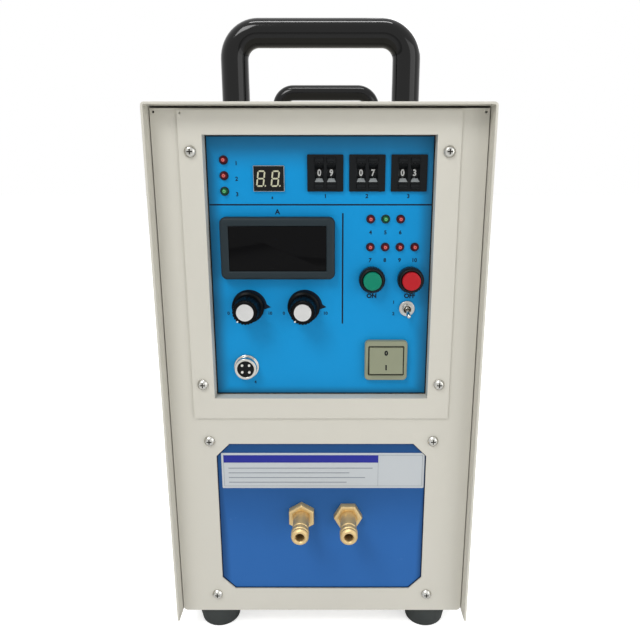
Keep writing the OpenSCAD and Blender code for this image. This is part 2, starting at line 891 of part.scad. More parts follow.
module control_panel() {
  color(panel_blue) difference() {
    translate([-control_w / 2, control_y, opening_mid_z - control_h / 2])
      cube([control_w, control_t, control_h]);
    frame_screw_places(control_y) rod(screw_d + hole_gap, -control_t - cut, cut);
    on_panel(meter_x, meter_drop)
      block(meter_w - 2 * meter_body_inset + hole_gap, meter_h - 2 * meter_body_inset + hole_gap,
        -control_t - cut, cut);
    on_panel(display_x, display_drop)
      block(display_w + hole_gap, display_h + hole_gap, -control_t - cut, cut);
    for (p = concat(red_places, green_places))
      on_panel(p[0], p[1]) rod(lamp_d + hole_gap, -control_t - cut, cut);
    for (x = timer_xs)
      on_panel(x, timer_drop)
        block(timer_body + hole_gap, timer_body + hole_gap, -control_t - cut, cut);
    for (i = [0:1])
      on_panel(knob_x + i * knob_pitch, knob_drop) rod(neck_d + hole_gap, -control_t - cut, cut);
    for (i = [0:1])
      on_panel(button_x + i * button_pitch, button_drop)
        rod(button_body_d + hole_gap, -control_t - cut, cut);
    on_panel(toggle_x, toggle_drop) rod(toggle_neck_d + hole_gap, -control_t - cut, cut);
    on_panel(switch_x, switch_drop)
      block(switch_w - 2 * switch_body_inset + hole_gap, switch_h - 2 * switch_body_inset + hole_gap,
        -control_t - cut, cut);
    on_panel(socket_x, socket_drop) rod(socket_tail_d + hole_gap, -control_t - cut, cut);
  }
}

module insulating_board() {
  color(board_blue) difference() {
    translate([-board_w / 2, board_y, window_mid_z - board_h / 2]) cube([board_w, board_t, board_h]);
    board_screw_places(board_y) rod(screw_d + hole_gap, -board_t - cut, cut);
    for (x = output_xs) out_front(x, board_y, output_z) rod(output_d + hole_gap, -board_t - cut, cut);
  }
}

// Handles, feet and fasteners
module handle(y) {
  bar_z = cover_top_z + handle_h - handle_bar_d / 2;
  corner_z = bar_z - handle_corner_r;
  bar_half = handle_pitch / 2 - handle_corner_r;
  color(gloss_black) difference() {
    union() {
      for (side = [-1, 1]) {
        translate([side * handle_pitch / 2, y, 0]) rod(handle_bar_d, cover_top_z, corner_z);
        translate([side * bar_half, y, corner_z]) rotate([90, 0, 90 - side * 90])
          rotate_extrude(angle = 90) translate([handle_corner_r, 0]) circle(d = handle_bar_d);
      }
      translate([0, y, bar_z]) rotate([0, 90, 0]) rod(handle_bar_d, -bar_half, bar_half);
    }
    for (side = [-1, 1])
      translate([side * handle_pitch / 2, y, cover_top_z]) rod(bolt_d + 2 * running_gap, -cut, bolt_l);
  }
}

module front_handle() {
  handle(cover_front_y + front_handle_inset);
}

module rear_handle() {
  handle(-cover_front_y - rear_handle_inset);
}

module feet() {
  top_r = foot_top_d / 2;
  bottom_r = foot_bottom_d / 2;
  color(dark_grey) foot_places() difference() {
    rotate_extrude() polygon(concat(
      [[0, 0]],
      arc(bottom_r - foot_edge_r, foot_edge_r, foot_edge_r, -90, 0),
      [[top_r, base_z - foot_edge_r], [top_r, base_z], [0, base_z]]
    ));
    rod(foot_well_d, -cut, base_z - foot_web);
    rod(bolt_d + 2 * running_gap, -cut, base_z + cut);
  }
}

module mounting_bolt() {
  rod(bolt_d, 0, bolt_l);
  hexagon(bolt_head_af, -bolt_head_h, 0);
}

module mounting_bolts() {
  color(nickel) {
    handle_bolt_places() mounting_bolt();
    foot_places() {
      translate([0, 0, base_z - foot_web]) mounting_bolt();
      translate([0, 0, floor_top_z]) difference() {
        hexagon(bolt_head_af, 0, bolt_nut_t);
        rod(bolt_d + 2 * running_gap, -cut, bolt_nut_t + cut);
      }
    }
  }
}

module case_screw() {
  head_r = screw_head_d / 2;
  difference() {
    rotate_extrude() polygon([
      [0, -screw_l], [screw_d / 2, -screw_l], [screw_d / 2, 0], [head_r, 0], [head_r, screw_rim_h],
      [head_r - screw_rim_h, (screw_rim_h + screw_head_h) / 2], [head_r / 2, screw_head_h],
      [0, screw_head_h]
    ]);
    for (turn = [0, 90])
      rotate(turn) block(screw_slot_l, screw_slot_w, screw_head_h - screw_slot_depth, screw_head_h + cut);
  }
}

module case_screws() {
  color(nickel) {
    frame_screw_places(frame_y) case_screw();
    board_screw_places(front_y) case_screw();
    cover_screw_places() case_screw();
    fan_screw_places(rear_y) case_screw();
    rear_screw_places(rear_y) case_screw();
  }
}

// Display, meter and lamps
module time_display() {
  color(gloss_black) on_panel(display_x, display_drop) {
    round_block(display_w, display_h, display_corner_r, -display_depth, display_proud);
    block(display_w + 2 * display_lip, display_h + 2 * display_lip, -display_depth, -control_t);
  }
}

module current_meter() {
  body_w = meter_w - 2 * meter_body_inset;
  body_h = meter_h - 2 * meter_body_inset;
  window_w = meter_w - 2 * meter_window_border;
  window_h = meter_h - 2 * meter_window_border;
  color(slate) on_panel(meter_x, meter_drop) difference() {
    union() {
      round_block(meter_w, meter_h, meter_corner_r, 0, meter_proud - meter_edge);
      round_block(meter_w - meter_edge, meter_h - meter_edge, meter_corner_r, 0, meter_proud);
      block(body_w, body_h, -meter_body_depth, 0);
    }
    round_block(window_w + hole_gap, window_h + hole_gap, meter_window_corner_r,
      meter_proud - meter_window_drop, meter_proud + cut);
  }
}

module meter_window() {
  window_w = meter_w - 2 * meter_window_border;
  window_h = meter_h - 2 * meter_window_border;
  low = meter_proud - meter_window_drop;
  color(gloss_black) on_panel(meter_x, meter_drop)
    round_block(window_w, window_h, meter_window_corner_r, low, low + meter_window_t);
}

module lamp() {
  r = lamp_d / 2;
  rotate_extrude() polygon(concat(
    [[0, -lamp_depth], [r, -lamp_depth], [r, 0], [r + lamp_rim_w, 0], [r + lamp_rim_w, lamp_rim_t]],
    arc(0, lamp_proud - r, r, 0, 90)
  ));
}

module red_lamps() {
  color("#A01820") for (p = red_places) on_panel(p[0], p[1]) lamp();
}

module green_lamps() {
  color("#177A35") for (p = green_places) on_panel(p[0], p[1]) lamp();
}

// Timers
function digit_x(digit) = (digit - 0.5) * digit_pitch;

module digit_mouth() {
  deep = timer_plate_low - cut;
  wide_low = timer_proud - mouth_slope_h;
  intersection() {
    rotate([90, 0, 0]) linear_extrude(digit_mouth_h, center = true) polygon([
      [-digit_window_w / 2, deep], [digit_window_w / 2, deep], [digit_window_w / 2, wide_low],
      [digit_mouth_w / 2, timer_proud], [digit_mouth_w / 2, timer_proud + cut],
      [-digit_mouth_w / 2, timer_proud + cut], [-digit_mouth_w / 2, timer_proud],
      [-digit_window_w / 2, wide_low]
    ]);
    rotate([90, 0, 90]) linear_extrude(digit_mouth_w, center = true) polygon([
      [-digit_window_h / 2, deep], [digit_window_h / 2, deep], [digit_window_h / 2, wide_low],
      [digit_mouth_h / 2, timer_proud], [digit_mouth_h / 2, timer_proud + cut],
      [-digit_mouth_h / 2, timer_proud + cut], [-digit_mouth_h / 2, timer_proud],
      [-digit_window_h / 2, wide_low]
    ]);
  }
}

module timer_housing() {
  difference() {
    union() {
      round_block(timer_size, timer_size, timer_corner_r, 0, timer_proud);
      block(timer_body, timer_body, -timer_depth, 0);
    }
    for (digit = [0:1]) translate([digit_x(digit), 0, 0]) {
      difference() {
        block(timer_cell_w, timer_cell_h, timer_wall - timer_depth, timer_plate_low);
        translate([0, 0, wheel_low]) rotate([0, 90, 0]) rod(axle_d, -timer_cell_w, timer_cell_w);
      }
      digit_mouth();
      for (end = [-1, 1])
        translate([0, end * key_z, 0])
          block(key_w + 2 * slide_gap, key_h + 2 * slide_gap, timer_plate_low - cut, timer_proud + cut);
    }
  }
}

module timer_housings() {
  color(gloss_black) for (x = timer_xs) on_panel(x, timer_drop) timer_housing();
}

module digit_wheel(timer, digit) {
  color(gloss_black) on_panel(timer_xs[timer] + digit_x(digit), timer_drop)
    translate([0, 0, wheel_low]) rotate([0, 90, 0]) difference() {
      union() {
        rod(wheel_d, -wheel_w / 2, wheel_w / 2);
        rod(wheel_hub_d, -wheel_hub_w / 2, wheel_hub_w / 2);
      }
      rod(axle_d + 2 * running_gap, -wheel_w, wheel_w);
    }
}

module timer_key(timer, digit, end) {
  high = timer_proud + key_proud;
  lip_high = timer_plate_low - key_lip_gap;
  color(dark_grey) on_panel(timer_xs[timer] + digit_x(digit), timer_drop)
    translate([0, end * key_z, 0]) difference() {
      union() {
        block(key_w, key_h, lip_high - key_lip_t, high);
        translate([0, end * key_lip / 2, 0])
          block(key_w + 2 * key_lip, key_h + key_lip, lip_high - key_lip_t, lip_high);
      }
      for (i = [-1, 1])
        translate([0, i * key_h / 4, 0]) block(key_w + cut, key_rib_w, high - key_rib_depth, high + cut);
    }
}

module heating_tens_wheel() { digit_wheel(0, 0); }
module heating_units_wheel() { digit_wheel(0, 1); }
module retaining_tens_wheel() { digit_wheel(1, 0); }
module retaining_units_wheel() { digit_wheel(1, 1); }
module cooling_tens_wheel() { digit_wheel(2, 0); }
module cooling_units_wheel() { digit_wheel(2, 1); }
module heating_tens_up_key() { timer_key(0, 0, 1); }
module heating_tens_down_key() { timer_key(0, 0, -1); }
module heating_units_up_key() { timer_key(0, 1, 1); }
module heating_units_down_key() { timer_key(0, 1, -1); }
module retaining_tens_up_key() { timer_key(1, 0, 1); }
module retaining_tens_down_key() { timer_key(1, 0, -1); }
module retaining_units_up_key() { timer_key(1, 1, 1); }
module retaining_units_down_key() { timer_key(1, 1, -1); }
module cooling_tens_up_key() { timer_key(2, 0, 1); }
module cooling_tens_down_key() { timer_key(2, 0, -1); }
module cooling_units_up_key() { timer_key(2, 1, 1); }
module cooling_units_down_key() { timer_key(2, 1, -1); }

// Knobs and potentiometers
module fluted_outline() {
  grip_r = knob_grip_d / 2;
  difference() {
    circle(r = grip_r);
    for (i = [0:knob_flutes - 1])
      rotate(i * 360 / knob_flutes) translate([grip_r + knob_flute_d / 2 - knob_flute_depth, 0])
        circle(d = knob_flute_d);
  }
}

module knob(index) {
  skirt_r = knob_skirt_d / 2;
  rim_r = knob_grip_d / 2 - knob_flute_depth;
  color(gloss_black) on_panel(knob_x + index * knob_pitch, knob_drop) {
    difference() {
      union() {
        rotate_extrude() polygon([
          [0, knob_lift], [skirt_r, knob_lift], [skirt_r, knob_skirt_t - knob_skirt_edge],
          [skirt_r - knob_skirt_edge, knob_skirt_t], [0, knob_skirt_t]
        ]);
        translate([0, 0, knob_skirt_t]) linear_extrude(knob_h - knob_rim - knob_skirt_t) fluted_outline();
        rotate_extrude() polygon([
          [0, knob_h - knob_rim], [rim_r, knob_h - knob_rim], [rim_r - knob_rim, knob_h], [0, knob_h]
        ]);
        rotate(knob_pointer_angle) translate([0, -knob_pointer_w / 2, knob_h - knob_rim])
          cube([rim_r - knob_pointer_t, knob_pointer_w, knob_rim]);
      }
      rod(knob_well_d, 0, knob_well_h);
      rod(shaft_d + 2 * running_gap, 0, shaft_high);
      rod(knob_cap_d + 2 * running_gap, knob_h - knob_cap_t, knob_h + cut);
    }
    rod(shaft_d, -shaft_low, shaft_high);
  }
}

module knob_cap(index) {
  color(aluminium) on_panel(knob_x + index * knob_pitch, knob_drop)
    rod(knob_cap_d, knob_h - knob_cap_t, knob_h);
}

module heat_knob() { knob(0); }
module heat_knob_cap() { knob_cap(0); }
module retain_knob() { knob(1); }
module retain_knob_cap() { knob_cap(1); }

module potentiometers() {
  low = -control_t - pot_t;
  color(nickel) for (i = [0:1]) on_panel(knob_x + i * knob_pitch, knob_drop) difference() {
    union() {
      rod(pot_d, low, -control_t);
      rod(neck_d, low, neck_h);
      hexagon(neck_nut_af, 0, neck_nut_t);
      for (tag = [-1:1])
        translate([tag * pot_tag_pitch, -pot_d / 2, 0])
          block(pot_tag_w, pot_tag_l, low, low + pot_base_t);
    }
    rod(shaft_d + 2 * running_gap, -shaft_low - running_gap, neck_h + cut);
  }
}

// Buttons and switches
module button(index, tint) {
  high = button_bezel_h + button_cap_proud;
  low = high - button_cap_l;
  cap_r = button_cap_d / 2;
  color(tint) on_panel(button_x + index * button_pitch, button_drop) rotate_extrude() polygon([
    [0, low - button_stem_l], [button_stem_d / 2, low - button_stem_l], [button_stem_d / 2, low],
    [cap_r, low], [cap_r, high - button_edge], [cap_r - button_edge, high], [0, high]
  ]);
}

module start_button() { button(0, "#0E8A66"); }
module stop_button() { button(1, "#C8222E"); }

module button_bezels() {
  r = button_bezel_d / 2;
  stem_low = button_bezel_h + button_cap_proud - button_cap_l - button_stem_l - button_travel;
  color(gloss_black) for (i = [0:1]) on_panel(button_x + i * button_pitch, button_drop) difference() {
    rotate_extrude() polygon([
      [0, -button_body_depth], [button_body_d / 2, -button_body_depth], [button_body_d / 2, 0],
      [r, 0], [r, button_edge], [r - button_edge, button_bezel_h - button_edge],
      [r - 2 * button_edge, button_bezel_h], [0, button_bezel_h]
    ]);
    rod(button_cap_d + 2 * slide_gap, button_well_low, button_bezel_h + cut);
    rod(button_stem_d + 2 * running_gap, stem_low - cut, button_bezel_h);
    for (rib = [0:button_ribs - 1])
      rotate(rib * 360 / button_ribs) translate([r - button_rib_depth, -button_rib_w / 2, button_edge])
        cube([button_edge, button_rib_w, button_bezel_h]);
  }
}

module toggle_switch() {
  pivot_r = toggle_ball_d / 2 + running_gap;
  color(nickel) on_panel(toggle_x, toggle_drop) difference() {
    union() {
      rod(toggle_neck_d, -control_t, toggle_neck_h);
      rod(toggle_nut_d, 0, toggle_nut_t);
      block(toggle_body_w, toggle_body_h, -control_t - toggle_body_depth, -control_t);
    }
    rod(2 * pivot_r, toggle_pivot - toggle_ball_d, toggle_neck_h + cut);
    rotate_extrude() polygon([
      [0, toggle_pivot], [pivot_r, toggle_pivot], [toggle_mouth_d / 2, toggle_neck_h],
      [toggle_mouth_d / 2, toggle_neck_h + cut], [0, toggle_neck_h + cut]
    ]);
  }
}

module toggle_lever() {
  length = toggle_neck_h - toggle_pivot + toggle_lever_l;
  color(nickel) on_panel(toggle_x, toggle_drop) translate([0, 0, toggle_pivot]) rotate([toggle_tilt, 0, 0]) {
    sphere(d = toggle_ball_d);
    rotate_extrude() polygon(concat(
      [[0, 0], [toggle_lever_d / 2, 0]],
      arc(0, length - toggle_tip_d / 2, toggle_tip_d / 2, 0, 90)
    ));
  }
}

module power_switch_frame() {
  body_w = switch_w - 2 * switch_body_inset;
  body_h = switch_h - 2 * switch_body_inset;
  pivot = switch_proud - rocker_depth;
  well_w = rocker_w + 2 * rocker_side_gap;
  color(switch_grey) on_panel(switch_x, switch_drop) difference() {
    union() {
      round_block(switch_w, switch_h, switch_corner_r, 0, switch_proud - switch_edge);
      round_block(switch_w - switch_edge, switch_h - switch_edge, switch_corner_r, 0, switch_proud);
      block(body_w, body_h, -switch_body_depth, 0);
    }
    block(well_w, 2 * (rocker_r + rocker_end_gap), -switch_well, switch_proud + cut);
    translate([0, 0, pivot]) rotate([0, 90, 0])
      rod(rocker_pin_d + 2 * running_gap, -well_w / 2 - rocker_pin_l, well_w / 2 + rocker_pin_l);
  }
}

module power_rocker() {
  pivot = switch_proud - rocker_depth;
  face = rocker_depth + rocker_face;
  slope = tan(rocker_angle);
  color(switch_grey) on_panel(switch_x, switch_drop) translate([0, 0, pivot]) {
    rotate([90, 0, 90]) linear_extrude(rocker_w, center = true) intersection() {
      circle(r = rocker_r);
      polygon([
        [-rocker_r, -rocker_back], [rocker_r, -rocker_back], [rocker_r, face], [0, face],
        [-rocker_r, face + rocker_r * slope]
      ]);
    }
    rotate([0, 90, 0])
      rod(rocker_pin_d, -rocker_w / 2 - rocker_pin_l, rocker_w / 2 + rocker_pin_l);
  }
}

module remote_socket() {
  tail = -control_t - socket_depth;
  insert_high = socket_proud - socket_insert_drop;
  on_panel(socket_x, socket_drop) {
    color(nickel) difference() {
      union() {
        rod(socket_flange_d, 0, socket_flange_t);
        rod(socket_shell_d, 0, socket_proud);
        rod(socket_tail_d, tail, 0);
        hexagon(socket_nut_af, -control_t - socket_nut_t, -control_t);
      }
      rod(socket_insert_d + 2 * running_gap, tail + socket_floor_t, socket_proud + cut);
    }
    color(gloss_black) {
      difference() {
        rod(socket_insert_d, tail + socket_floor_t, insert_high);
        translate([-socket_insert_d / 2, 0, 0])
          block(2 * socket_key_w, socket_key_w, insert_high - socket_insert_drop, insert_high + cut);
      }
      for (x = [-1, 1], y = [-1, 1])
        translate([x * socket_pin_pitch / 2, y * socket_pin_pitch / 2, 0])
          rod(socket_pin_d, insert_high - socket_pin_h, insert_high + socket_pin_h);
    }
  }
}

// Output connectors, transformer and windings
module output_connector(turn) {
  collar_low = output_reach - output_tip_l - output_collar_l;
  tail = -board_t - output_flange_t - output_tail_l;
  difference() {
    rotate_extrude() polygon([
      [0, tail], [output_d / 2, tail], [output_d / 2, -board_t - output_flange_t],
      [output_flange_d / 2, -board_t - output_flange_t], [output_flange_d / 2, -board_t],
      [output_d / 2, -board_t], [output_d / 2, collar_low - output_groove_l],
      [output_groove_d / 2, collar_low - output_groove_l], [output_groove_d / 2, collar_low],
      [output_collar_d / 2, collar_low], [output_collar_d / 2, output_reach - output_tip_l],
      [output_tip_d / 2, output_reach], [0, output_reach]
    ]);
    rod(output_bore_d, tail - cut, output_reach + cut);
  }
  rotate(turn) difference() {
    hexagon(output_nut_af, 0, output_nut_t);
    rod(output_d + 2 * running_gap, -cut, output_nut_t + cut);
  }
}

module output_connectors() {
  color(brass) for (i = [0:1])
    out_front(output_xs[i], board_y, output_z) output_connector(output_nut_turns[i]);
}

module output_transformer() {
  stand_top = core_mid_z - core_h / 2;
  color(dark_grey) {
    difference() {
      translate([output_x - core_w / 2, core_y, core_mid_z - core_h / 2]) cube([core_w, core_d, core_h]);
      for (x = output_xs)
        translate([x - core_window_w / 2, core_y - cut, core_mid_z - core_window_h / 2])
          cube([core_window_w, core_d + 2 * cut, core_window_h]);
    }
    for (side = [-1, 1])
      translate([output_x + side * (core_w - core_stand_w) / 2 - core_stand_w / 2, core_y, floor_top_z])
        cube([core_stand_w, core_d, stand_top - floor_top_z]);
  }
}

module transformer_windings() {
  front = board_back_y + output_flange_t + output_tail_l;
  bar_y = core_y + core_d + primary_end + coil_gap;
  leg_w = output_pitch - core_window_w;
  inner_w = leg_w + 2 * coil_gap;
  color(copper) {
    difference() {
      union() {
        for (x = output_xs) out_rear(x, front, output_z) {
          rod(output_d, 0, winding_end_y - front);
          rod(nipple_d, 0, winding_end_y - front + nipple_l);
        }
        translate([output_xs[0], bar_y, output_z - output_d / 2])
          cube([output_pitch, winding_bar_t - coil_gap, output_d]);
      }
      for (x = output_xs)
        out_rear(x, front, output_z) rod(output_bore_d, -cut, winding_end_y - front + nipple_l + cut);
    }
    translate([output_x, core_y + core_d / 2, core_mid_z - primary_h / 2]) difference() {
      block(inner_w + 2 * primary_t, core_d + 2 * primary_t, 0, primary_h);
      block(inner_w, core_d, -cut, primary_h + cut);
    }
  }
}

// Inverter
module heat_sink() {
  base_low = floor_top_z + sink_h - sink_base_t;
  fin_pitch = (sink_w - sink_fin_t) / (sink_fins - 1);
  color(aluminium) {
    translate([-sink_w / 2, sink_front_y, base_low]) cube([sink_w, sink_l, sink_base_t]);
    for (i = [0:sink_fins - 1])
      translate([i * fin_pitch - sink_w / 2, sink_front_y, floor_top_z])
        cube([sink_fin_t, sink_l, sink_h - sink_base_t]);
  }
}

module power_modules() {
  low = floor_top_z + sink_h;
  color(gloss_black) for (i = [-1:1]) translate([0, sink_mid_y + i * module_pitch, 0]) {
    block(module_w, module_d, low, low + module_h);
    for (post = [-1:1])
      translate([post * module_post_pitch, 0, 0])
        rod(module_post_d, low + module_h, low + module_h + module_post_h);
  }
}

module capacitor_bank() {
  rim_d = capacitor_d - capacitor_rim_h;
  film_x = core_w / 2 + film_gap + film_w / 2;
  color("#2B4A7A") {
    for (i = [-1:1], row = [0:1])
      translate([i * capacitor_pitch_x, capacitor_rear_y - row * capacitor_pitch_y, 0]) {
        rod(capacitor_d, floor_top_z, floor_top_z + capacitor_h - capacitor_rim_h);
        rod(rim_d, floor_top_z, floor_top_z + capacitor_h);
      }
    for (side = [-1, 1])
      translate([output_x + side * film_x, core_y + core_d / 2 + film_gap, 0])
        block(film_w, film_d, floor_top_z, floor_top_z + film_h);
  }
}

module control_board() {
  low = floor_top_z + sink_h;
  plate_w = sink_w * board_w_share;
  plate_l = sink_l * board_l_share;
  plate_low = output_z + hose_d / 2 + circuit_gap;
  plate_high = plate_low + circuit_t;
  pitch = plate_w / 3;
  color("#1F6B3A") translate([0, sink_mid_y, 0]) {
    for (x = [-1, 1], y = [-1, 1])
      translate([x * (plate_w / 2 - post_inset), y * (plate_l / 2 - post_inset), 0])
        rod(post_d, low, plate_low);
    block(plate_w, plate_l, plate_low, plate_high);
    for (i = [-1:1])
      translate([i * pitch, plate_l / 4, 0]) block(relay_w, relay_d, plate_high, plate_high + relay_h);
    for (i = [-1:1])
      translate([i * pitch, -plate_l / 4, 0])
        block(pitch - chip_gap, chip_d, plate_high, plate_high + chip_h);
  }
}

// Rear fittings
module fan_frame() {
  color(gloss_black) out_rear(0, rear_back_y - fan_t, fan_z) difference() {
    union() {
      difference() {
        round_block(fan_size, fan_size, fan_corner_r, 0, fan_t);
        rod(fan_bore_d, -cut, fan_t + cut);
      }
      rod(fan_plate_d, 0, fan_plate_t);
      for (turn = [45, 135])
        rotate(turn) block(fan_bore_d + fan_wall, fan_strut_w, 0, fan_plate_t);
    }
    rod(rotor_shaft_d + 2 * running_gap, -cut, fan_plate_t + cut);
    for (x = [-1, 1], y = [-1, 1])
      translate([x * fan_hole_pitch / 2, y * fan_hole_pitch / 2, 0])
        rod(screw_d + hole_gap, -cut, fan_t + cut);
  }
}

module fan_rotor() {
  low = fan_plate_t + rotor_gap;
  high = fan_t - 2 * rotor_gap;
  tip_d = fan_bore_d - 2 * rotor_tip_gap;
  blade_l = (tip_d - rotor_hub_d) / 2 + 2 * rotor_gap;
  color(dark_grey) out_rear(0, rear_back_y - fan_t, fan_z) {
    rod(rotor_shaft_d, 0, low);
    rod(rotor_hub_d, low, high);
    intersection() {
      rod(tip_d, low, high);
      for (i = [0:rotor_blades - 1])
        rotate(i * 360 / rotor_blades)
          translate([(tip_d + rotor_hub_d) / 4, 0, (low + high) / 2]) rotate([rotor_blade_angle, 0, 0])
            cube([blade_l, rotor_blade_chord, rotor_blade_t], center = true);
    }
  }
}

module water_fitting() {
  thread_low = -sheet - fitting_thread_l;
  barb_l = (barb_reach - fitting_hex_t) / barb_count;
  r = barb_d / 2;
  difference() {
    union() {
      rod(fitting_d, thread_low, 0);
      rod(nipple_d, thread_low - nipple_l, 0);
      hexagon(fitting_af, 0, fitting_hex_t);
      rotate_extrude() polygon(concat(
        [[0, 0], [r, 0]],
        [for (i = [0:barb_count - 1], end = [0:1])
          [r - barb_ridge / 2 + (1 - end) * 1.5 * barb_ridge, fitting_hex_t + (i + end) * barb_l]],
        [[0, barb_reach]]
      ));
    }
    rod(output_bore_d, thread_low - nipple_l - cut, barb_reach + cut);
  }
  difference() {
    hexagon(fitting_af, -sheet - fitting_nut_t, -sheet);
    rod(fitting_d + 2 * running_gap, -sheet - fitting_nut_t - cut, -sheet + cut);
  }
}

module water_fittings() {
  color(brass) for (x = output_xs) out_rear(x, rear_y, output_z) water_fitting();
}

module cooling_hoses() {
  low = winding_end_y + hose_end_gap;
  high = rear_back_y - fitting_thread_l - hose_end_gap;
  color("#6FA8C8") for (x = output_xs) out_rear(x, 0, output_z) difference() {
    rod(hose_d, low, high);
    rod(hose_bore_d, low - cut, high + cut);
  }
}

module cable_gland() {
  tail = -sheet - gland_tail_l;
  cap_high = gland_hex_t + gland_cap_l;
  color(dark_grey) out_rear(gland_x, rear_y, base_z + gland_rise) {
    difference() {
      union() {
        rod(gland_thread_d, tail, 0);
        hexagon(gland_af, 0, gland_hex_t);
        rotate_extrude() polygon([
          [0, 0], [gland_cap_d / 2, 0], [gland_cap_d / 2, cap_high - gland_cap_taper],
          [gland_cap_d / 2 - gland_cap_taper, cap_high], [0, cap_high]
        ]);
      }
      rod(gland_bore_d, tail - cut, cap_high + cut);
    }
    difference() {
      hexagon(gland_af, -sheet - gland_nut_t, -sheet);
      rod(gland_thread_d + 2 * running_gap, -sheet - gland_nut_t - cut, -sheet + cut);
    }
  }
}

cover();
chassis();
rear_panel();
panel_frame();
control_panel();
insulating_board();
front_handle();
rear_handle();
feet();
mounting_bolts();
case_screws();
time_display();
current_meter();
meter_window();
red_lamps();
green_lamps();
timer_housings();
heating_tens_wheel();
heating_units_wheel();
retaining_tens_wheel();
retaining_units_wheel();
cooling_tens_wheel();
cooling_units_wheel();
heating_tens_up_key();
heating_tens_down_key();
heating_units_up_key();
heating_units_down_key();
retaining_tens_up_key();
retaining_tens_down_key();
retaining_units_up_key();
retaining_units_down_key();
cooling_tens_up_key();
cooling_tens_down_key();
cooling_units_up_key();
cooling_units_down_key();
heat_knob();
heat_knob_cap();
retain_knob();
retain_knob_cap();
potentiometers();
start_button();
stop_button();
button_bezels();
toggle_switch();
toggle_lever();
power_switch_frame();
power_rocker();
remote_socket();
output_connectors();
output_transformer();
transformer_windings();
heat_sink();
power_modules();
capacitor_bank();
control_board();
fan_frame();
fan_rotor();
water_fittings();
cooling_hoses();
cable_gland();
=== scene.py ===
"""Induction heating machine: the looks of a painted steel cabinet, its control panel and its
brass output connectors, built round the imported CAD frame."""

import math

import bmesh
import bpy
from mathutils import Matrix, Vector
from mathutils.bvhtree import BVHTree


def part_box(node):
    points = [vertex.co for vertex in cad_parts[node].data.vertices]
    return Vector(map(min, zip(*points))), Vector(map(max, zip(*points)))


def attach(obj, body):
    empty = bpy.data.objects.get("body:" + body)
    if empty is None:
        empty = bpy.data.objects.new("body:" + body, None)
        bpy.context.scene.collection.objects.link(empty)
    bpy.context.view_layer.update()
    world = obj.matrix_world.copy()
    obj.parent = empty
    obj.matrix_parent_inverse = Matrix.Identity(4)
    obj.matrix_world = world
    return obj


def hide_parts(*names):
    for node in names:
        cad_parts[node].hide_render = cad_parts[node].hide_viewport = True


bl_info = {
    "name": "Induction heating machine",
    "version": (1, 0, 0),
    "blender": (4, 5, 0),
    "location": "3D View > Sidebar > Heater",
    "description": "Dresses the CAD frame of an induction heating machine",
    "category": "Object",
}

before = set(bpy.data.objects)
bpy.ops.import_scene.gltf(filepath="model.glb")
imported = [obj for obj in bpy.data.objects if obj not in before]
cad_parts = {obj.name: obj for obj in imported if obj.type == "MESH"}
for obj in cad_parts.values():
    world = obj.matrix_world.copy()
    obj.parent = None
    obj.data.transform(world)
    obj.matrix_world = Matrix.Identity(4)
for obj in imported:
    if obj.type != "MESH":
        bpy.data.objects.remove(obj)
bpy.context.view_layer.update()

MM = 0.001
PANEL_HALF = 0.75  # half the control panel's thickness, in mm


# ---------------------------------------------------------------- places and outlines


def on_front(x, y, z):
    """Place on the machine's front, in mm: local x runs right, local y up and local z out."""
    return (
        Matrix.Translation((x * MM, y * MM, z * MM))
        @ Matrix.Rotation(math.radians(90), 4, "X")
        @ Matrix.Scale(MM, 4)
    )


def standing(x, y, z):
    """Upright place, in mm."""
    return Matrix.Translation((x * MM, y * MM, z * MM)) @ Matrix.Scale(MM, 4)


def box_mm(node):
    """Lowest and highest corner of a CAD node, in mm."""
    low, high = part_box(node)
    return Vector(low) / MM, Vector(high) / MM


def middle(node):
    """Middle of a CAD node's box, in mm."""
    low, high = box_mm(node)
    return (low + high) / 2


def panel_face():
    """How far forward the control panel's front lies, in mm."""
    return middle("control_panel").y - PANEL_HALF


def seated(node, face):
    """Lowest and highest corner of a node on a face of the front, in mm, its place on the face,
    and how far it stands out of the face and, as a negative height, behind it."""
    low, high = box_mm(node)
    centre = (low + high) / 2
    return low, high, on_front(centre.x, face, centre.z), face - low.y, face - high.y


def polar(radius, degrees):
    """Point at a radius and an angle."""
    angle = math.radians(degrees)
    return radius * math.cos(angle), radius * math.sin(angle)


def in_scene(name, data):
    """An object in the scene that holds data."""
    holder = bpy.data.objects.new(name, data)
    bpy.context.scene.collection.objects.link(holder)
    return holder


def solids(node):
    """Boxes, in mm, of the separate solids of a CAD node, from left to right and then upwards."""
    work = bmesh.new()
    work.from_mesh(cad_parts[node].data)
    bmesh.ops.remove_doubles(work, verts=work.verts, dist=1e-6)
    waiting = set(work.verts)
    boxes = []
    while waiting:
        heap = [waiting.pop()]
        found = []
        while heap:
            point = heap.pop()
            found.append(point.co / MM)
            for edge in point.link_edges:
                other = edge.other_vert(point)
                if other in waiting:
                    waiting.remove(other)
                    heap.append(other)
        low = Vector([min(p[i] for p in found) for i in range(3)])
        high = Vector([max(p[i] for p in found) for i in range(3)])
        boxes.append((low, high))
    work.free()
    return sorted(boxes, key=lambda b: (round((b[0] + b[1]).x), round((b[0] + b[1]).z)))


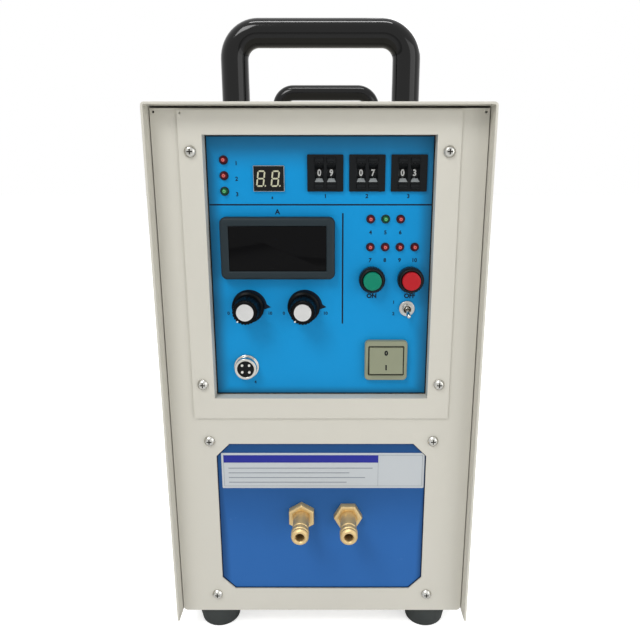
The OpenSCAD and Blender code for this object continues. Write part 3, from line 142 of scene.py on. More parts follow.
def eased(corners, closed=False, steps=4):
    """Points of a line whose corners (x, y, radius) are rounded."""
    line = []
    count = len(corners)
    for i, corner in enumerate(corners):
        point = Vector(corner[:2])
        radius = corner[2] if len(corner) > 2 else 0
        if radius <= 0 or (not closed and i in (0, count - 1)):
            line.append(tuple(point))
            continue
        back = Vector(corners[i - 1][:2]) - point
        ahead = Vector(corners[(i + 1) % count][:2]) - point
        half = back.angle(ahead) / 2
        reach = min(radius / math.tan(half), back.length * 0.499, ahead.length * 0.499)
        radius = reach * math.tan(half)
        bisector = (back.normalized() + ahead.normalized()).normalized()
        centre = point + bisector * (radius / math.sin(half))
        first = point + back.normalized() * reach - centre
        last = point + ahead.normalized() * reach - centre
        start = math.atan2(first.y, first.x)
        turn = (math.atan2(last.y, last.x) - start + math.pi) % (2 * math.pi) - math.pi
        for k in range(steps + 1):
            angle = start + turn * k / steps
            line.append((centre.x + radius * math.cos(angle), centre.y + radius * math.sin(angle)))
    return line


def round_rect(width, height, radius, steps=6):
    """Outline of a rectangle with round corners, as a function of how far it is inset."""

    def outline(inset):
        w, h = width / 2 - inset, height / 2 - inset
        r = max(radius - inset, 0.02)
        return [
            (x + r * math.cos(a), y + r * math.sin(a))
            for x, y, first in (
                (w - r, h - r, 0), (r - w, h - r, 90), (r - w, r - h, 180), (w - r, r - h, 270),
            )
            for a in (math.radians(first + 90 * k / steps) for k in range(steps + 1))
        ]

    return outline


def cut_corners(width, height, cut):
    """Outline of a rectangle with its corners cut at 45 degrees, as a function of its inset."""

    def outline(inset):
        w, h = width / 2 - inset, height / 2 - inset
        c = cut - inset * (2 - math.sqrt(2))
        right = [(w, h - c), (w - c, h)]
        upper = right + [(-x, y) for x, y in reversed(right)]
        return upper + [(x, -y) for x, y in reversed(upper)]

    return outline


def hexagon(across, turn, round_by):
    """Outline of a hexagon with slightly round corners, as a function of its inset."""

    def outline(inset):
        reach = (across / 2 - inset) / math.cos(math.radians(30))
        corners = [(*polar(reach, 60 * k + turn), round_by) for k in range(6)]
        return eased(corners, closed=True, steps=3)

    return outline


def stacked(outline, levels):
    """Loops of (x, y, z) points: an outline at levels of (inset, height)."""
    return [[(x, y, z) for x, y in outline(inset)] for inset, z in levels]


class Shape:
    """Gathers the faces of one piece, with a finish number for each face and the distance
    from the turning axis for each point."""

    def __init__(self):
        self.points = []
        self.turns = []
        self.faces = []
        self.finishes = []

    def add(self, points, faces, place, finish=0, turns=None):
        """Adds points and faces at a place."""
        first = len(self.points)
        self.points += [place @ Vector(p) for p in points]
        self.turns += turns or [0.0] * len(points)
        self.faces += [[first + i for i in face] for face in faces]
        self.finishes += [finish] * len(faces)

    def lathe(self, profile, place, steps=64, finish=0, closed=False):
        """Turns a profile of (radius, height) points round local z."""
        rows, points, turns, faces = [], [], [], []
        for r, z in profile:
            if r < 1e-6:
                rows.append([len(points)] * steps)
                points.append((0, 0, z))
                turns.append(0.0)
                continue
            rows.append(list(range(len(points), len(points) + steps)))
            for k in range(steps):
                angle = 2 * math.pi * k / steps
                points.append((r * math.cos(angle), r * math.sin(angle), z))
                turns.append(r)
        pairs = list(zip(rows, rows[1:]))
        if closed:
            pairs.append((rows[-1], rows[0]))
        for low, high in pairs:
            for k in range(steps):
                n = (k + 1) % steps
                face = []
                for i in (low[k], low[n], high[n], high[k]):
                    if i not in face:
                        face.append(i)
                if len(face) > 2:
                    faces.append(face)
        self.add(points, faces, place, finish, turns)

    def turned(self, corners, place, steps=72, finish=0, closed=True):
        """Turns a profile of corners (radius, height, rounding) round local z."""
        self.lathe(eased(corners, closed), place, steps, finish, closed)

    def loft(self, loops, place, finish=0, closed=False, cap_finish=None):
        """Joins loops of (x, y, z) points, all of one count."""
        count = len(loops[0])
        points = [p for loop in loops for p in loop]
        pairs = list(zip(range(len(loops)), range(1, len(loops))))
        if closed:
            pairs.append((len(loops) - 1, 0))
        faces = []
        for low, high in pairs:
            for k in range(count):
                n = (k + 1) % count
                faces.append([low * count + k, low * count + n, high * count + n, high * count + k])
        self.add(points, faces, place, finish)
        if not closed:
            end = list(range(count))
            self.add(loops[0], [end[::-1]], place, finish)
            self.add(loops[-1], [end], place, finish if cap_finish is None else cap_finish)

    def plate(self, points, low, high, place, finish=0):
        """A plate between two heights with an outline of (x, y) points."""
        self.loft([[(x, y, z) for x, y in points] for z in (low, high)], place, finish)

    def slab(self, outline, levels, place, finish=0, cap_finish=None):
        """Stacks an outline at levels of (inset, height)."""
        self.loft(stacked(outline, levels), place, finish, cap_finish=cap_finish)

    def ring(self, outline, outer, inner, low, high, edge, place):
        """A frame between two insets of an outline, with eased upper edges."""
        levels = [(outer, low), (outer, high - edge), (outer + edge * 0.3, high - edge * 0.3)]
        levels += [(outer + edge, high), (inner - edge, high)]
        levels += [(inner - edge * 0.3, high - edge * 0.3), (inner, high - edge), (inner, low)]
        self.loft(stacked(outline, levels), place, closed=True)

    def mesh_in(self, mesh, place, finish=0):
        """Adds the faces of a mesh."""
        turn = mesh.attributes.get("turn")
        turns = [item.value for item in turn.data] if turn else None
        faces = [list(face.vertices) for face in mesh.polygons]
        self.add([tuple(v.co) for v in mesh.vertices], faces, place, finish, turns)

    def words(self, text, height, place, depth, finish=0, weight=0.045):
        """Adds flat lettering of a height, centred, that stands out by a depth."""
        curve = bpy.data.curves.new("Lettering", "FONT")
        curve.body = text
        curve.size = height * 1.38
        curve.align_x = "CENTER"
        curve.align_y = "CENTER"
        curve.extrude = depth / 2
        curve.resolution_u = 4
        curve.offset = height * weight
        holder = in_scene("Lettering", curve)
        mesh = evaluated_mesh(holder)
        self.mesh_in(mesh, place @ Matrix.Translation((0, 0, depth / 2)), finish)
        bpy.data.objects.remove(holder)
        bpy.data.meshes.remove(mesh)
        bpy.data.curves.remove(curve)

    def mesh(self, name):
        """The plain mesh of everything gathered, with its faces pointing outwards."""
        mesh = bpy.data.meshes.new(name)
        mesh.from_pydata([tuple(p) for p in self.points], [], self.faces)
        for face, finish in zip(mesh.polygons, self.finishes):
            face.material_index = finish
        turn = mesh.attributes.new("turn", "FLOAT", "POINT")
        turn.data.foreach_set("value", self.turns)
        work = bmesh.new()
        work.from_mesh(mesh)
        bmesh.ops.remove_doubles(work, verts=work.verts, dist=2e-6)
        bmesh.ops.recalc_face_normals(work, faces=work.faces)
        work.to_mesh(mesh)
        work.free()
        return mesh


def evaluated_mesh(holder):
    """A plain mesh of an object with its modifiers run."""
    bpy.context.view_layer.update()
    graph = bpy.context.evaluated_depsgraph_get()
    return bpy.data.meshes.new_from_object(holder.evaluated_get(graph), depsgraph=graph)


def add_piece(name, mesh, finishes, body="cabinet", stands_for=(), crease=32):
    """Puts a finished mesh or shape into the scene as a piece that rides on a body."""
    if isinstance(mesh, Shape):
        mesh = mesh.mesh(name)
    numbers = [face.material_index for face in mesh.polygons]
    mesh.materials.clear()
    for finish in finishes:
        mesh.materials.append(finish)
    for face, number in zip(mesh.polygons, numbers):
        face.material_index = number
    if crease is not None:
        mesh.shade_smooth()
        mesh.set_sharp_from_angle(angle=math.radians(crease))
    piece = in_scene(name, mesh)
    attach(piece, body)
    if stands_for:
        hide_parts(*stands_for)


def rounded_copy(node, edge, steps=2):
    """A copy of a CAD node's mesh, with flat faces joined and edges rounded by edge mm."""
    work = bmesh.new()
    work.from_mesh(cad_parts[node].data)
    bmesh.ops.remove_doubles(work, verts=work.verts, dist=1e-6)
    bmesh.ops.dissolve_limit(
        work, angle_limit=math.radians(1), verts=list(work.verts), edges=list(work.edges)
    )
    for face in work.faces:
        face.material_index = 0
    mesh = bpy.data.meshes.new(node)
    work.to_mesh(mesh)
    work.free()
    holder = in_scene(node, mesh)
    bevel = holder.modifiers.new("Edges", "BEVEL")
    bevel.width = edge * MM
    bevel.segments = steps
    bevel.limit_method = "ANGLE"
    bevel.angle_limit = math.radians(32)
    bevel.harden_normals = True
    result = evaluated_mesh(holder)
    bpy.data.objects.remove(holder)
    bpy.data.meshes.remove(mesh)
    result.name = node
    return result


def dressed(node, name, edge, finish, body="cabinet", steps=2):
    """Adds a rounded copy of a CAD node as the piece that stands for it."""
    mesh = rounded_copy(node, edge, steps)
    add_piece(name, mesh, [finish], body, [node], crease=None)


# ---------------------------------------------------------------- node helpers

FLOAT, COLOUR = "NodeSocketFloat", "NodeSocketColor"
GEOMETRY, MATERIAL = "NodeSocketGeometry", "NodeSocketMaterial"


def put(tree, kind, out=None, inputs=None, **settings):
    """Adds a node with its settings, gives each input a value or links a socket to it, and gives
    back the node, or its output of a name."""
    node = tree.nodes.new(kind)
    for name, value in settings.items():
        setattr(node, name, value)
    for key, value in (inputs or {}).items():
        if isinstance(value, bpy.types.NodeSocket):
            tree.links.new(value, node.inputs[key])
        else:
            node.inputs[key].default_value = value
    return node.outputs[out] if out else node


def calc(tree, operation, *values):
    """Result of a maths node on values or sockets."""
    return put(tree, "ShaderNodeMath", "Value", dict(enumerate(values)), operation=operation)


def mixed(tree, factor, under, over, **settings):
    """A colour with another laid over it by a factor."""
    inputs = {"Factor": factor, "A": under, "B": over}
    return put(tree, "ShaderNodeMix", "Result", inputs, data_type="RGBA", **settings)


def new_group(name, kind, inputs, outputs):
    """A node group with inputs of (name, socket type, default) and outputs of (name, socket
    type), and the sockets that carry its inputs."""
    group = bpy.data.node_groups.new(name, kind)
    for label, socket_kind, default in inputs:
        socket = group.interface.new_socket(label, in_out="INPUT", socket_type=socket_kind)
        if default is not None:
            socket.default_value = default
    for label, socket_kind in outputs:
        group.interface.new_socket(label, in_out="OUTPUT", socket_type=socket_kind)
    return group, group.nodes.new("NodeGroupInput").outputs


# ---------------------------------------------------------------- geometry trees


def new_tree(name, inputs):
    """A geometry tree with the inputs that every tree has, and its own."""
    inputs = [("Geometry", GEOMETRY, None), *inputs, ("Material", MATERIAL, None)]
    return new_group(name, "GeometryNodeTree", inputs, [("Geometry", GEOMETRY)])


def give_back(tree, given, geometry):
    """Ends a geometry tree with its geometry made real and painted."""
    real = put(tree, "GeometryNodeRealizeInstances", "Geometry", {"Geometry": geometry})
    inputs = {"Geometry": real, "Material": given["Material"]}
    painted = put(tree, "GeometryNodeSetMaterial", "Geometry", inputs)
    put(tree, "NodeGroupOutput", None, {"Geometry": painted})
    return tree


def set_on(tree, points, part, turn, **more):
    """Instances of an object on points, each turned."""
    part = put(tree, "GeometryNodeObjectInfo", "Geometry", {"Object": part, "As Instance": True})
    inputs = {"Points": points, "Instance": part, "Rotation": turn, **more}
    return put(tree, "GeometryNodeInstanceOnPoints", "Instances", inputs)


def turn_to(tree, direction, **settings):
    """The rotation that turns an axis to a direction."""
    kind = "FunctionNodeAlignRotationToVector"
    return put(tree, kind, "Rotation", {"Vector": direction}, **settings)


def scatter_tree():
    """Sets one object on each point of a mesh, with its z along the point's aim."""
    tree, given = new_tree("Set on places", [("Part", "NodeSocketObject", None), ("Size", FLOAT, 1.0)])
    kind = "GeometryNodeInputNamedAttribute"
    aim = put(tree, kind, "Attribute", {"Name": "aim"}, data_type="FLOAT_VECTOR")
    turn = turn_to(tree, aim, axis="Z")
    parts = set_on(tree, given["Geometry"], given["Part"], turn, Scale=given["Size"])
    return give_back(tree, given, parts)


def rib_tree():
    """Sets ribs round a circle, each facing outwards."""
    inputs = [("Rib", "NodeSocketObject", None), ("Count", "NodeSocketInt", 24), ("Radius", FLOAT, 9.0)]
    tree, given = new_tree("Ribs round a grip", inputs)
    inputs = {"Vertices": given["Count"], "Radius": given["Radius"]}
    ring = put(tree, "GeometryNodeMeshCircle", "Mesh", inputs)
    where = put(tree, "GeometryNodeInputPosition", "Position")
    turn = turn_to(tree, where, axis="X", pivot_axis="Z")
    return give_back(tree, given, set_on(tree, ring, given["Rib"], turn))


def bar_tree():
    """Sweeps a round bar along a line of points and rounds the line's corners."""
    tree, given = new_tree("Bent bar", [("Bar radius", FLOAT, 0.009), ("Bend radius", FLOAT, 0.017)])
    line = put(tree, "GeometryNodeMeshToCurve", "Curve", {"Mesh": given["Geometry"]})
    inputs = {"Curve": line, "Radius": given["Bend radius"], "Count": 14}
    bend = put(tree, "GeometryNodeFilletCurve", "Curve", inputs, mode="POLY")
    inputs = {"Radius": given["Bar radius"], "Resolution": 48}
    section = put(tree, "GeometryNodeCurvePrimitiveCircle", "Curve", inputs)
    inputs = {"Curve": bend, "Profile Curve": section, "Fill Caps": True}
    return give_back(tree, given, put(tree, "GeometryNodeCurveToMesh", "Mesh", inputs))


def grown(name, base, values, part=None):
    """Runs a tree over a mesh, with the part that it sets, and gives back the plain mesh."""
    tree = bpy.data.node_groups.get(name) or TREES[name]()
    holder = in_scene("Growing", base)
    build = holder.modifiers.new("Build", "NODES")
    build.node_group = tree
    if part:
        values[part[0]] = in_scene(*part)
    for item in tree.interface.items_tree:
        if item.item_type == "SOCKET" and item.in_out == "INPUT" and item.name in values:
            build[item.identifier] = values[item.name]
    mesh = evaluated_mesh(holder)
    bpy.data.objects.remove(holder)
    bpy.data.meshes.remove(base)
    if part:
        bpy.data.objects.remove(values[part[0]])
    return mesh


TREES = {"Set on places": scatter_tree, "Ribs round a grip": rib_tree, "Bent bar": bar_tree}


def parts_on(places, part_mesh, material):
    """One mesh with a part at each (point, outward direction), in metres."""
    base = bpy.data.meshes.new("Places")
    base.from_pydata([tuple(p) for p, _ in places], [], [])
    aim = base.attributes.new("aim", "FLOAT_VECTOR", "POINT")
    aim.data.foreach_set("vector", [c for _, a in places for c in a])
    values = {"Size": 1.0, "Material": material}
    return grown("Set on places", base, values, ("Part", part_mesh))


def add_ribs(shape, place, count, radius, rib_mesh, material):
    """Adds ribs round a grip, in mm."""
    values = {"Count": count, "Radius": radius, "Material": material}
    ribs = grown("Ribs round a grip", bpy.data.meshes.new("Middle"), values, ("Rib", rib_mesh))
    shape.mesh_in(ribs, place)
    bpy.data.meshes.remove(ribs)


def rib(width, depth, low, high):
    """One rib for a grip, in mm: it lies along z and rounds outwards in x."""
    shape = Shape()
    side = [(-depth, -width / 2), (depth * 0.55, -width / 2), (depth * 0.9, -width / 4)]
    section = side + [(depth, 0)] + [(x, -y) for x, y in reversed(side)]
    tip = [(min(x, depth * 0.35), y) for x, y in section]
    levels = ((section, low), (section, high - 0.7), (tip, high))
    shape.loft([[(x, y, z) for x, y in points] for points, z in levels], Matrix.Identity(4))
    return shape.mesh("Rib")


# ---------------------------------------------------------------- finishes


def linear(code):
    """Linear colour of a hex code."""
    values = [int(code[i : i + 2], 16) / 255 for i in (1, 3, 5)]
    return tuple(v / 12.92 if v <= 0.04045 else ((v + 0.055) / 1.055) ** 2.4 for v in values)


def noise(tree, where, scale, detail, **more):
    """Noise at a place."""
    inputs = {"Vector": where, "Scale": scale, "Detail": detail, **more}
    return put(tree, "ShaderNodeTexNoise", "Fac", inputs)


def grain_group():
    """Broad tone changes, a spread of roughness and a fine surface grain, from Object coordinates."""
    inputs = [("Colour", COLOUR, (0.5, 0.5, 0.5, 1)), ("Tone scale", FLOAT, 14.0)]
    inputs += [("Tone depth", FLOAT, 0.08), ("Roughness", FLOAT, 0.5)]
    inputs += [("Roughness spread", FLOAT, 0.1), ("Grain scale", FLOAT, 900.0)]
    outputs = [("Colour", COLOUR), ("Roughness", FLOAT), ("Height", FLOAT)]
    group, given = new_group("Surface grain", "ShaderNodeTree", inputs, outputs)
    where = put(group, "ShaderNodeTexCoord", "Object")
    broad = noise(group, where, given["Tone scale"], 5, Roughness=0.6)
    fine = noise(group, where, given["Grain scale"], 3)
    depth = calc(group, "MULTIPLY", broad, given["Tone depth"])
    tone = mixed(group, depth, given["Colour"], (0.35, 0.35, 0.36, 1), blend_type="MULTIPLY")
    centred = calc(group, "SUBTRACT", broad, 0.5)
    spread = calc(group, "MULTIPLY_ADD", centred, given["Roughness spread"], given["Roughness"])
    put(group, "NodeGroupOutput", None, {"Colour": tone, "Roughness": spread, "Height": fine})
    return group


def scuff_group():
    """Faint wiped marks and spots, as a mask from Object coordinates."""
    inputs = [("Scale", FLOAT, 30.0), ("Stretch", FLOAT, 3.0), ("Threshold", FLOAT, 0.62)]
    group, given = new_group("Wiped marks", "ShaderNodeTree", inputs, [("Mask", FLOAT)])
    where = put(group, "ShaderNodeTexCoord", "Object")
    factors = put(group, "ShaderNodeCombineXYZ", "Vector", {"X": 1, "Y": 1, "Z": given["Stretch"]})
    kind = "ShaderNodeVectorMath"
    stretched = put(group, kind, "Vector", {0: where, 1: factors}, operation="MULTIPLY")
    spots = noise(group, stretched, given["Scale"], 6, Roughness=0.68)
    above = calc(group, "ADD", given["Threshold"], 0.12)
    inputs = {"Value": spots, "From Min": given["Threshold"], "From Max": above}
    mask = put(group, "ShaderNodeMapRange", "Result", inputs, interpolation_type="SMOOTHSTEP")
    put(group, "NodeGroupOutput", None, {"Mask": mask})
    return group


def corner_group():
    """Painted shade towards the edges of an opening, as a mask from Object coordinates."""
    labels = ("Left", "Right", "Bottom", "Top", "Side reach", "Bottom reach", "Top reach")
    inputs = [(label, FLOAT, None) for label in labels]
    group, given = new_group("Corner shade", "ShaderNodeTree", inputs, [("Mask", FLOAT)])
    where = put(group, "ShaderNodeTexCoord", "Object")
    split = put(group, "ShaderNodeSeparateXYZ", None, {"Vector": where})
    highest = None
    for edge, axis, reach, way in (
        ("Left", "X", "Side reach", "ADD"),
        ("Right", "X", "Side reach", "SUBTRACT"),
        ("Bottom", "Z", "Bottom reach", "ADD"),
        ("Top", "Z", "Top reach", "SUBTRACT"),
    ):
        far = calc(group, way, given[edge], given[reach])
        inputs = {"Value": split.outputs[axis], "From Min": given[edge], "From Max": far}
        inputs |= {"To Min": 1, "To Max": 0}
        fade = put(group, "ShaderNodeMapRange", "Result", inputs, interpolation_type="SMOOTHSTEP")
        highest = fade if highest is None else calc(group, "MAXIMUM", highest, fade)
    put(group, "NodeGroupOutput", None, {"Mask": highest})
    return group


def turning_group():
    """Fine rings left by turning, from the distance to the turning axis kept on each point."""
    inputs = [("Rings per mm", FLOAT, 2.5)]
    group, given = new_group("Turning marks", "ShaderNodeTree", inputs, [("Height", FLOAT)])
    radius = put(group, "ShaderNodeAttribute", "Fac", attribute_name="turn")
    rings = calc(group, "MULTIPLY", radius, given["Rings per mm"])
    wave = calc(group, "SINE", calc(group, "MULTIPLY", rings, 2 * math.pi))
    put(group, "NodeGroupOutput", None, {"Height": wave})
    return group


GROUPS = {
    "Surface grain": grain_group,
    "Wiped marks": scuff_group,
    "Corner shade": corner_group,
    "Turning marks": turning_group,
}


def place_group(tree, name, **values):
    """Puts a node group into a material and sets its inputs."""
    inputs = {label.replace("_", " "): value for label, value in values.items()}
    group = bpy.data.node_groups.get(name) or GROUPS[name]()
    return put(tree, "ShaderNodeGroup", None, inputs, node_tree=group)


def new_finish(
    name, colour, roughness=0.5, spread=0.1, metallic=0.0, tone=0.08, tone_scale=14.0, grain=900.0,
    bump=0.15, bump_mm=0.05, rings=0.0, specular=0.5, marks=(),
):
    """A material with tone changes, varying roughness, a fine grain and marks, made once for its
    name."""
    found = bpy.data.materials.get(name)
    if found:
        return found
    material = bpy.data.materials.new(name)
    material.use_nodes = True
    tree = material.node_tree
    shader = tree.nodes["Principled BSDF"]
    shader.inputs["Metallic"].default_value = metallic
    shader.inputs["Specular IOR Level"].default_value = specular
    surface = place_group(
        tree, "Surface grain", Colour=(*colour, 1), Tone_scale=tone_scale, Tone_depth=tone,
        Roughness=roughness, Roughness_spread=spread, Grain_scale=grain,
    )
    height = surface.outputs["Height"]
    if rings:
        turned = place_group(tree, "Turning marks", Rings_per_mm=rings)
        height = calc(tree, "MULTIPLY_ADD", turned.outputs["Height"], 0.5, height)
    inputs = {"Strength": bump, "Distance": bump_mm * MM, "Height": height}
    normal = put(tree, "ShaderNodeBump", "Normal", inputs)
    tree.links.new(surface.outputs["Colour"], shader.inputs["Base Color"])
    tree.links.new(surface.outputs["Roughness"], shader.inputs["Roughness"])
    tree.links.new(normal, shader.inputs["Normal"])
    for mark_colour, strength, group, values in marks:
        mask = place_group(tree, group, **values).outputs["Mask"]
        lay_over(material, linear(mark_colour), calc(tree, "MULTIPLY", mask, strength))
    return material


def lay_over(material, colour, factor):
    """Lays another colour over a finish by a factor."""
    tree = material.node_tree
    base = tree.nodes["Principled BSDF"].inputs["Base Color"]
    tree.links.new(mixed(tree, factor, base.links[0].from_socket, (*colour, 1)), base)


def wiped(colour, strength, scale, stretch, threshold):
    """Wiped marks for a finish."""
    values = {"Scale": scale, "Stretch": stretch, "Threshold": threshold}
    return colour, strength, "Wiped marks", values


def shaded(colour, strength, opening, reach):
    """Painted shade towards the edges of an opening (left, right, bottom, top) for a finish."""
    labels = ("Left", "Right", "Bottom", "Top", "Side_reach", "Bottom_reach", "Top_reach")
    return colour, strength, "Corner shade", dict(zip(labels, opening + reach))


def colours():
    """The machine's colours as set in the panel."""
    return bpy.context.scene.heater_colours


def cabinet_paint():
    """Cream powder coat with its fine orange peel."""
    return new_finish(
        "Cream powder coat", colours().cabinet, 0.5, 0.12, tone=0.05, tone_scale=7, grain=1300,
        bump=0.12, marks=[wiped("#E4DFD2", 0.25, 9.0, 0.6, 0.62)],
    )


def panel_blue():
    """Screen-printed blue of the control panel, with painted shade towards the edges of its frame."""
    opening, reach = (-0.077, 0.077, 0.201, 0.3845), (0.011, 0.007, 0.026)
    # The #22485F mark is painted shade, where the frame's ledge casts its shadow on the panel's top and
    # sides.
    marks = [wiped("#4AA3DA", 0.18, 22.0, 1.6, 0.66), shaded("#22485F", 0.6, opening, reach)]
    return new_finish(
        "Control panel blue", colours().panel, 0.4, 0.1, tone=0.06, tone_scale=9, grain=1600,
        bump=0.06, specular=0.16, marks=marks,
    )


def board_blue():
    """Deep blue of the insulating board, with wiped marks and painted shade along its top and sides,
    none along its bottom.
    """
    opening, reach = (-0.0767, 0.0787, -1.0, 0.159), (0.006, 0.01, 0.085)
    # The #153B68 mark is painted shade, where the frame's ledge casts its shadow over the board's top
    # and sides.
    marks = [wiped("#6C93CE", 0.42, 26.0, 1.3, 0.63), shaded("#153B68", 0.72, opening, reach)]
    return new_finish(
        "Insulating board blue", colours().board, 0.5, 0.14, tone=0.1, tone_scale=16, grain=1100,
        bump=0.1, specular=0.16, marks=marks,
    )


def black_gloss():
    """Glossy black plastic of the handles."""
    return new_finish(
        "Gloss black plastic", colours().handle, 0.1, 0.04, tone=0.2, grain=500, bump=0.02, specular=0.3
    )


def soft_black(name, shade, roughness):
    """Satin black plastic of housings."""
    return new_finish(
        name, linear(shade), roughness, tone=0.15, tone_scale=60, grain=1500, bump=0.12, specular=0.16
    )


def steel():
    """Zinc-plated steel."""
    return new_finish(
        "Plated steel", linear("#C9C8C2"), 0.27, 0.16, metallic=1, tone=0.25, tone_scale=160,
        grain=1400, bump=0.1, bump_mm=0.03,
    )


def bright_metal():
    """Nickel-plated brass of the small fittings."""
    return new_finish(
        "Bright nickel", linear("#CFCDC6"), 0.2, 0.12, metallic=1, tone=0.2, tone_scale=200,
        grain=1500, bump=0.08, bump_mm=0.02, rings=3.0,
    )


def brass():
    """Turned brass of the connectors."""
    return new_finish(
        "Turned brass", colours().brass, 0.42, 0.12, metallic=0.72, tone=0.2, tone_scale=120,
        bump=0.2, bump_mm=0.04, rings=1.6, marks=[wiped("#9C8153", 0.4, 90.0, 0.4, 0.56)],
    )


def lamp_finish(name, deep, glow):
    """Coloured lens whose middle shows the chip as a pale ring, with a painted highlight laid over it.
    """
    found = bpy.data.materials.get(name)
    if found:
        return found
    material = new_finish(name, deep, 0.2, 0.05, tone=0.1, bump=0.03, specular=0.2)
    tree = material.node_tree
    radius = put(tree, "ShaderNodeAttribute", "Fac", attribute_name="turn")
    inputs = {"Fac": calc(tree, "DIVIDE", radius, 6.0)}
    ramp = put(tree, "ShaderNodeValToRGB", None, inputs)
    steps = ramp.color_ramp.elements
    steps[0].position, steps[0].color = 0.0, (0.25, 0.25, 0.25, 1)
    steps[1].position, steps[1].color = 1.0, (0, 0, 0, 1)
    for position, value in ((0.06, 0.25), (0.09, 0.9), (0.15, 0.9), (0.2, 0.1), (0.26, 0.0)):
        steps.new(position).color = (value, value, value, 1)
    # The pale ring is partly the chip and partly a painted highlight on the lens.
    lay_over(material, glow, ramp.outputs["Color"])
    return material


def ink(name, shade):
    """Screen-printed ink."""
    return new_finish(
        name, linear(shade), tone=0.12, tone_scale=200, grain=2000, bump=0.05, specular=0.15
    )


# ---------------------------------------------------------------- pieces


def sizes():
    """The sizes as set in the panel."""
    return bpy.context.scene.heater_sizes


class HEATER_OT_cabinet(bpy.types.Operator):
    """Add the folded steel cabinet: cover, chassis, rear panel and the frame round the panel"""

    bl_idname = "heater.cabinet"
    bl_label = "Cabinet"

    def execute(self, context):
        edge = sizes().sheet_edge / MM
        for node in ("cover", "chassis", "rear_panel", "panel_frame"):
            dressed(node, "painted_" + node, edge, cabinet_paint())
        return {"FINISHED"}


class HEATER_OT_plates(bpy.types.Operator):
    """Add the blue control panel and the insulating board"""

    bl_idname = "heater.plates"
    bl_label = "Control panel and board"

    def execute(self, context):
        for node, finish, slot in (
            ("control_panel", panel_blue(), "panel_blue"),
            ("insulating_board", board_blue(), "board_blue"),
        ):
            dressed(node, "finished_" + node, 0.15, finish)
        self.seal()
        return {"FINISHED"}

    def seal(self):
        """Thin dark rings of painted shade in the shadow gaps round the panel in its frame and round the
        board in its opening.
        """
        shape = Shape()
        width, height, middle_z = 154.0, 183.4, 292.8
        place = on_front(0, box_mm("control_panel")[0].y, middle_z)
        shape.ring(round_rect(width, height, 0.3, 3), 0.02, 0.85, 0.0, 0.7, 0.1, place)
        # This dark ring is painted shade in the gap between the frame's flange and the panel.
        rubber = soft_black("Panel shadow ring", "#1C211F", 0.7)
        add_piece("panel_seal", shape, [rubber])
        face = box_mm("insulating_board")[0].y
        points = [v.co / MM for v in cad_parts["chassis"].data.vertices]
        half_limit, top_limit = 78.5, 185  # round the board's opening, below the panel's
        points = [
            p for p in points
            if abs(p.y - face) < 0.1 and abs(p.x) < half_limit and p.z < top_limit
        ]
        low, high = min(p.z for p in points), max(p.z for p in points)
        half = max(p.x for p in points)
        cut = half - max(p.x for p in points if p.z < low + 0.1)
        shape = Shape()
        place = on_front(0, face, (low + high) / 2)
        shape.ring(cut_corners(2 * half, high - low, cut), 0.02, 0.7, 0.0, 0.45, 0.1, place)
        # This dark ring is painted shade along the edge of the board's opening.
        dark = soft_black("Board shadow ring", "#10203A", 0.7)
        add_piece("board_seal", shape, [dark])


def flat_line(shape, points, width, place, depth, finish=0):
    """A printed line of one width through (x, y) points."""
    for start, end in zip(points, points[1:]):
        start, end = Vector(start), Vector(end)
        along = (end - start).normalized() * width / 2
        side = Vector((-along.y, along.x))
        start, end = start - along, end + along
        shape.plate([start - side, end - side, end + side, start + side], 0, depth, place, finish)


class HEATER_OT_print(bpy.types.Operator):
    """Add the printing on the control panel: dividing lines, knob arcs and plain numbers"""

    bl_idname = "heater.print"
    bl_label = "Panel printing"

    def execute(self, context):
        face = box_mm("control_panel")[0].y
        shape = Shape()
        depth = 0.06

        def at(x, z):
            return on_front(x, face, z)

        flat_line(shape, [(-75.4, 338.8), (76.0, 338.8)], 1.0, at(0, 0), depth)
        flat_line(shape, [(15.4, 332.6), (15.4, 255.2)], 1.0, at(0, 0), depth)
        steps, first, sweep = 40, 190, 182
        for knob in ("heat_knob", "retain_knob"):
            centre = middle(knob)
            place = at(centre.x, centre.z)
            angles = [first - sweep * k / steps for k in range(steps + 1)]
            inner = [polar(10.4, angle) for angle in angles]
            outer = [polar(11.4 + 2.0 * (k / steps) ** 1.2, angle) for k, angle in enumerate(angles)]
            for k in range(steps):
                shape.plate([inner[k], inner[k + 1], outer[k + 1], outer[k]], 0, depth, place)
            shape.plate([(10.3, 1.85), (13.2, 1.86), (16.2, -0.3), (11.0, -2.2)], 0, depth, place)
            shape.words("0", 2.3, at(centre.x - 14.3, centre.z - 4.9), depth)
            shape.words("10", 2.3, at(centre.x + 15.4, centre.z - 4.9), depth)
        lamps = [(low + high) / 2 for low, high in solids("red_lamps") + solids("green_lamps")]
        column = sorted((p for p in lamps if p.x < 0), key=lambda p: -p.z)
        rows = sorted((p for p in lamps if p.x > 0), key=lambda p: (-round(p.z), p.x))
        for number, lamp in enumerate(column, 1):
            shape.words(str(number), 2.7, at(lamp.x + 8.4, lamp.z - 2.2), depth)
        for number, lamp in enumerate(rows, len(column) + 1):
            shape.words(str(number), 2.7, at(lamp.x, lamp.z - 9.3), depth)
        for number, node in enumerate(("heating", "retaining", "cooling"), 1):
            tens, units = middle(node + "_tens_wheel"), middle(node + "_units_wheel")
            shape.words(str(number), 2.7, at((tens.x + units.x) / 2, tens.z - 15.4), depth)
        for node, text, height, right, up, weight in (
            ("time_display", "s", 2.2, 2, -12.6, 0.045),
            ("current_meter", "A", 3.4, 0, 24.6, 0.045),
            ("start_button", "ON", 3.2, 0, -12.2, 0.06),
            ("stop_button", "OFF", 3.2, 0, -12.2, 0.06),
            ("toggle_switch", "1", 2.3, -9.4, 4.2, 0.045),
            ("toggle_switch", "2", 2.3, -9.4, -4.2, 0.045),
            ("remote_socket", "4", 2.2, 6, -12.2, 0.045),
        ):
            centre = middle(node)
            place = at(centre.x + right, centre.z + up)
            shape.words(text, height, place, depth, weight=weight)
        dark = ink("Printed dark ink", "#0B1826")
        add_piece("panel_print", shape, [dark])
        return {"FINISHED"}


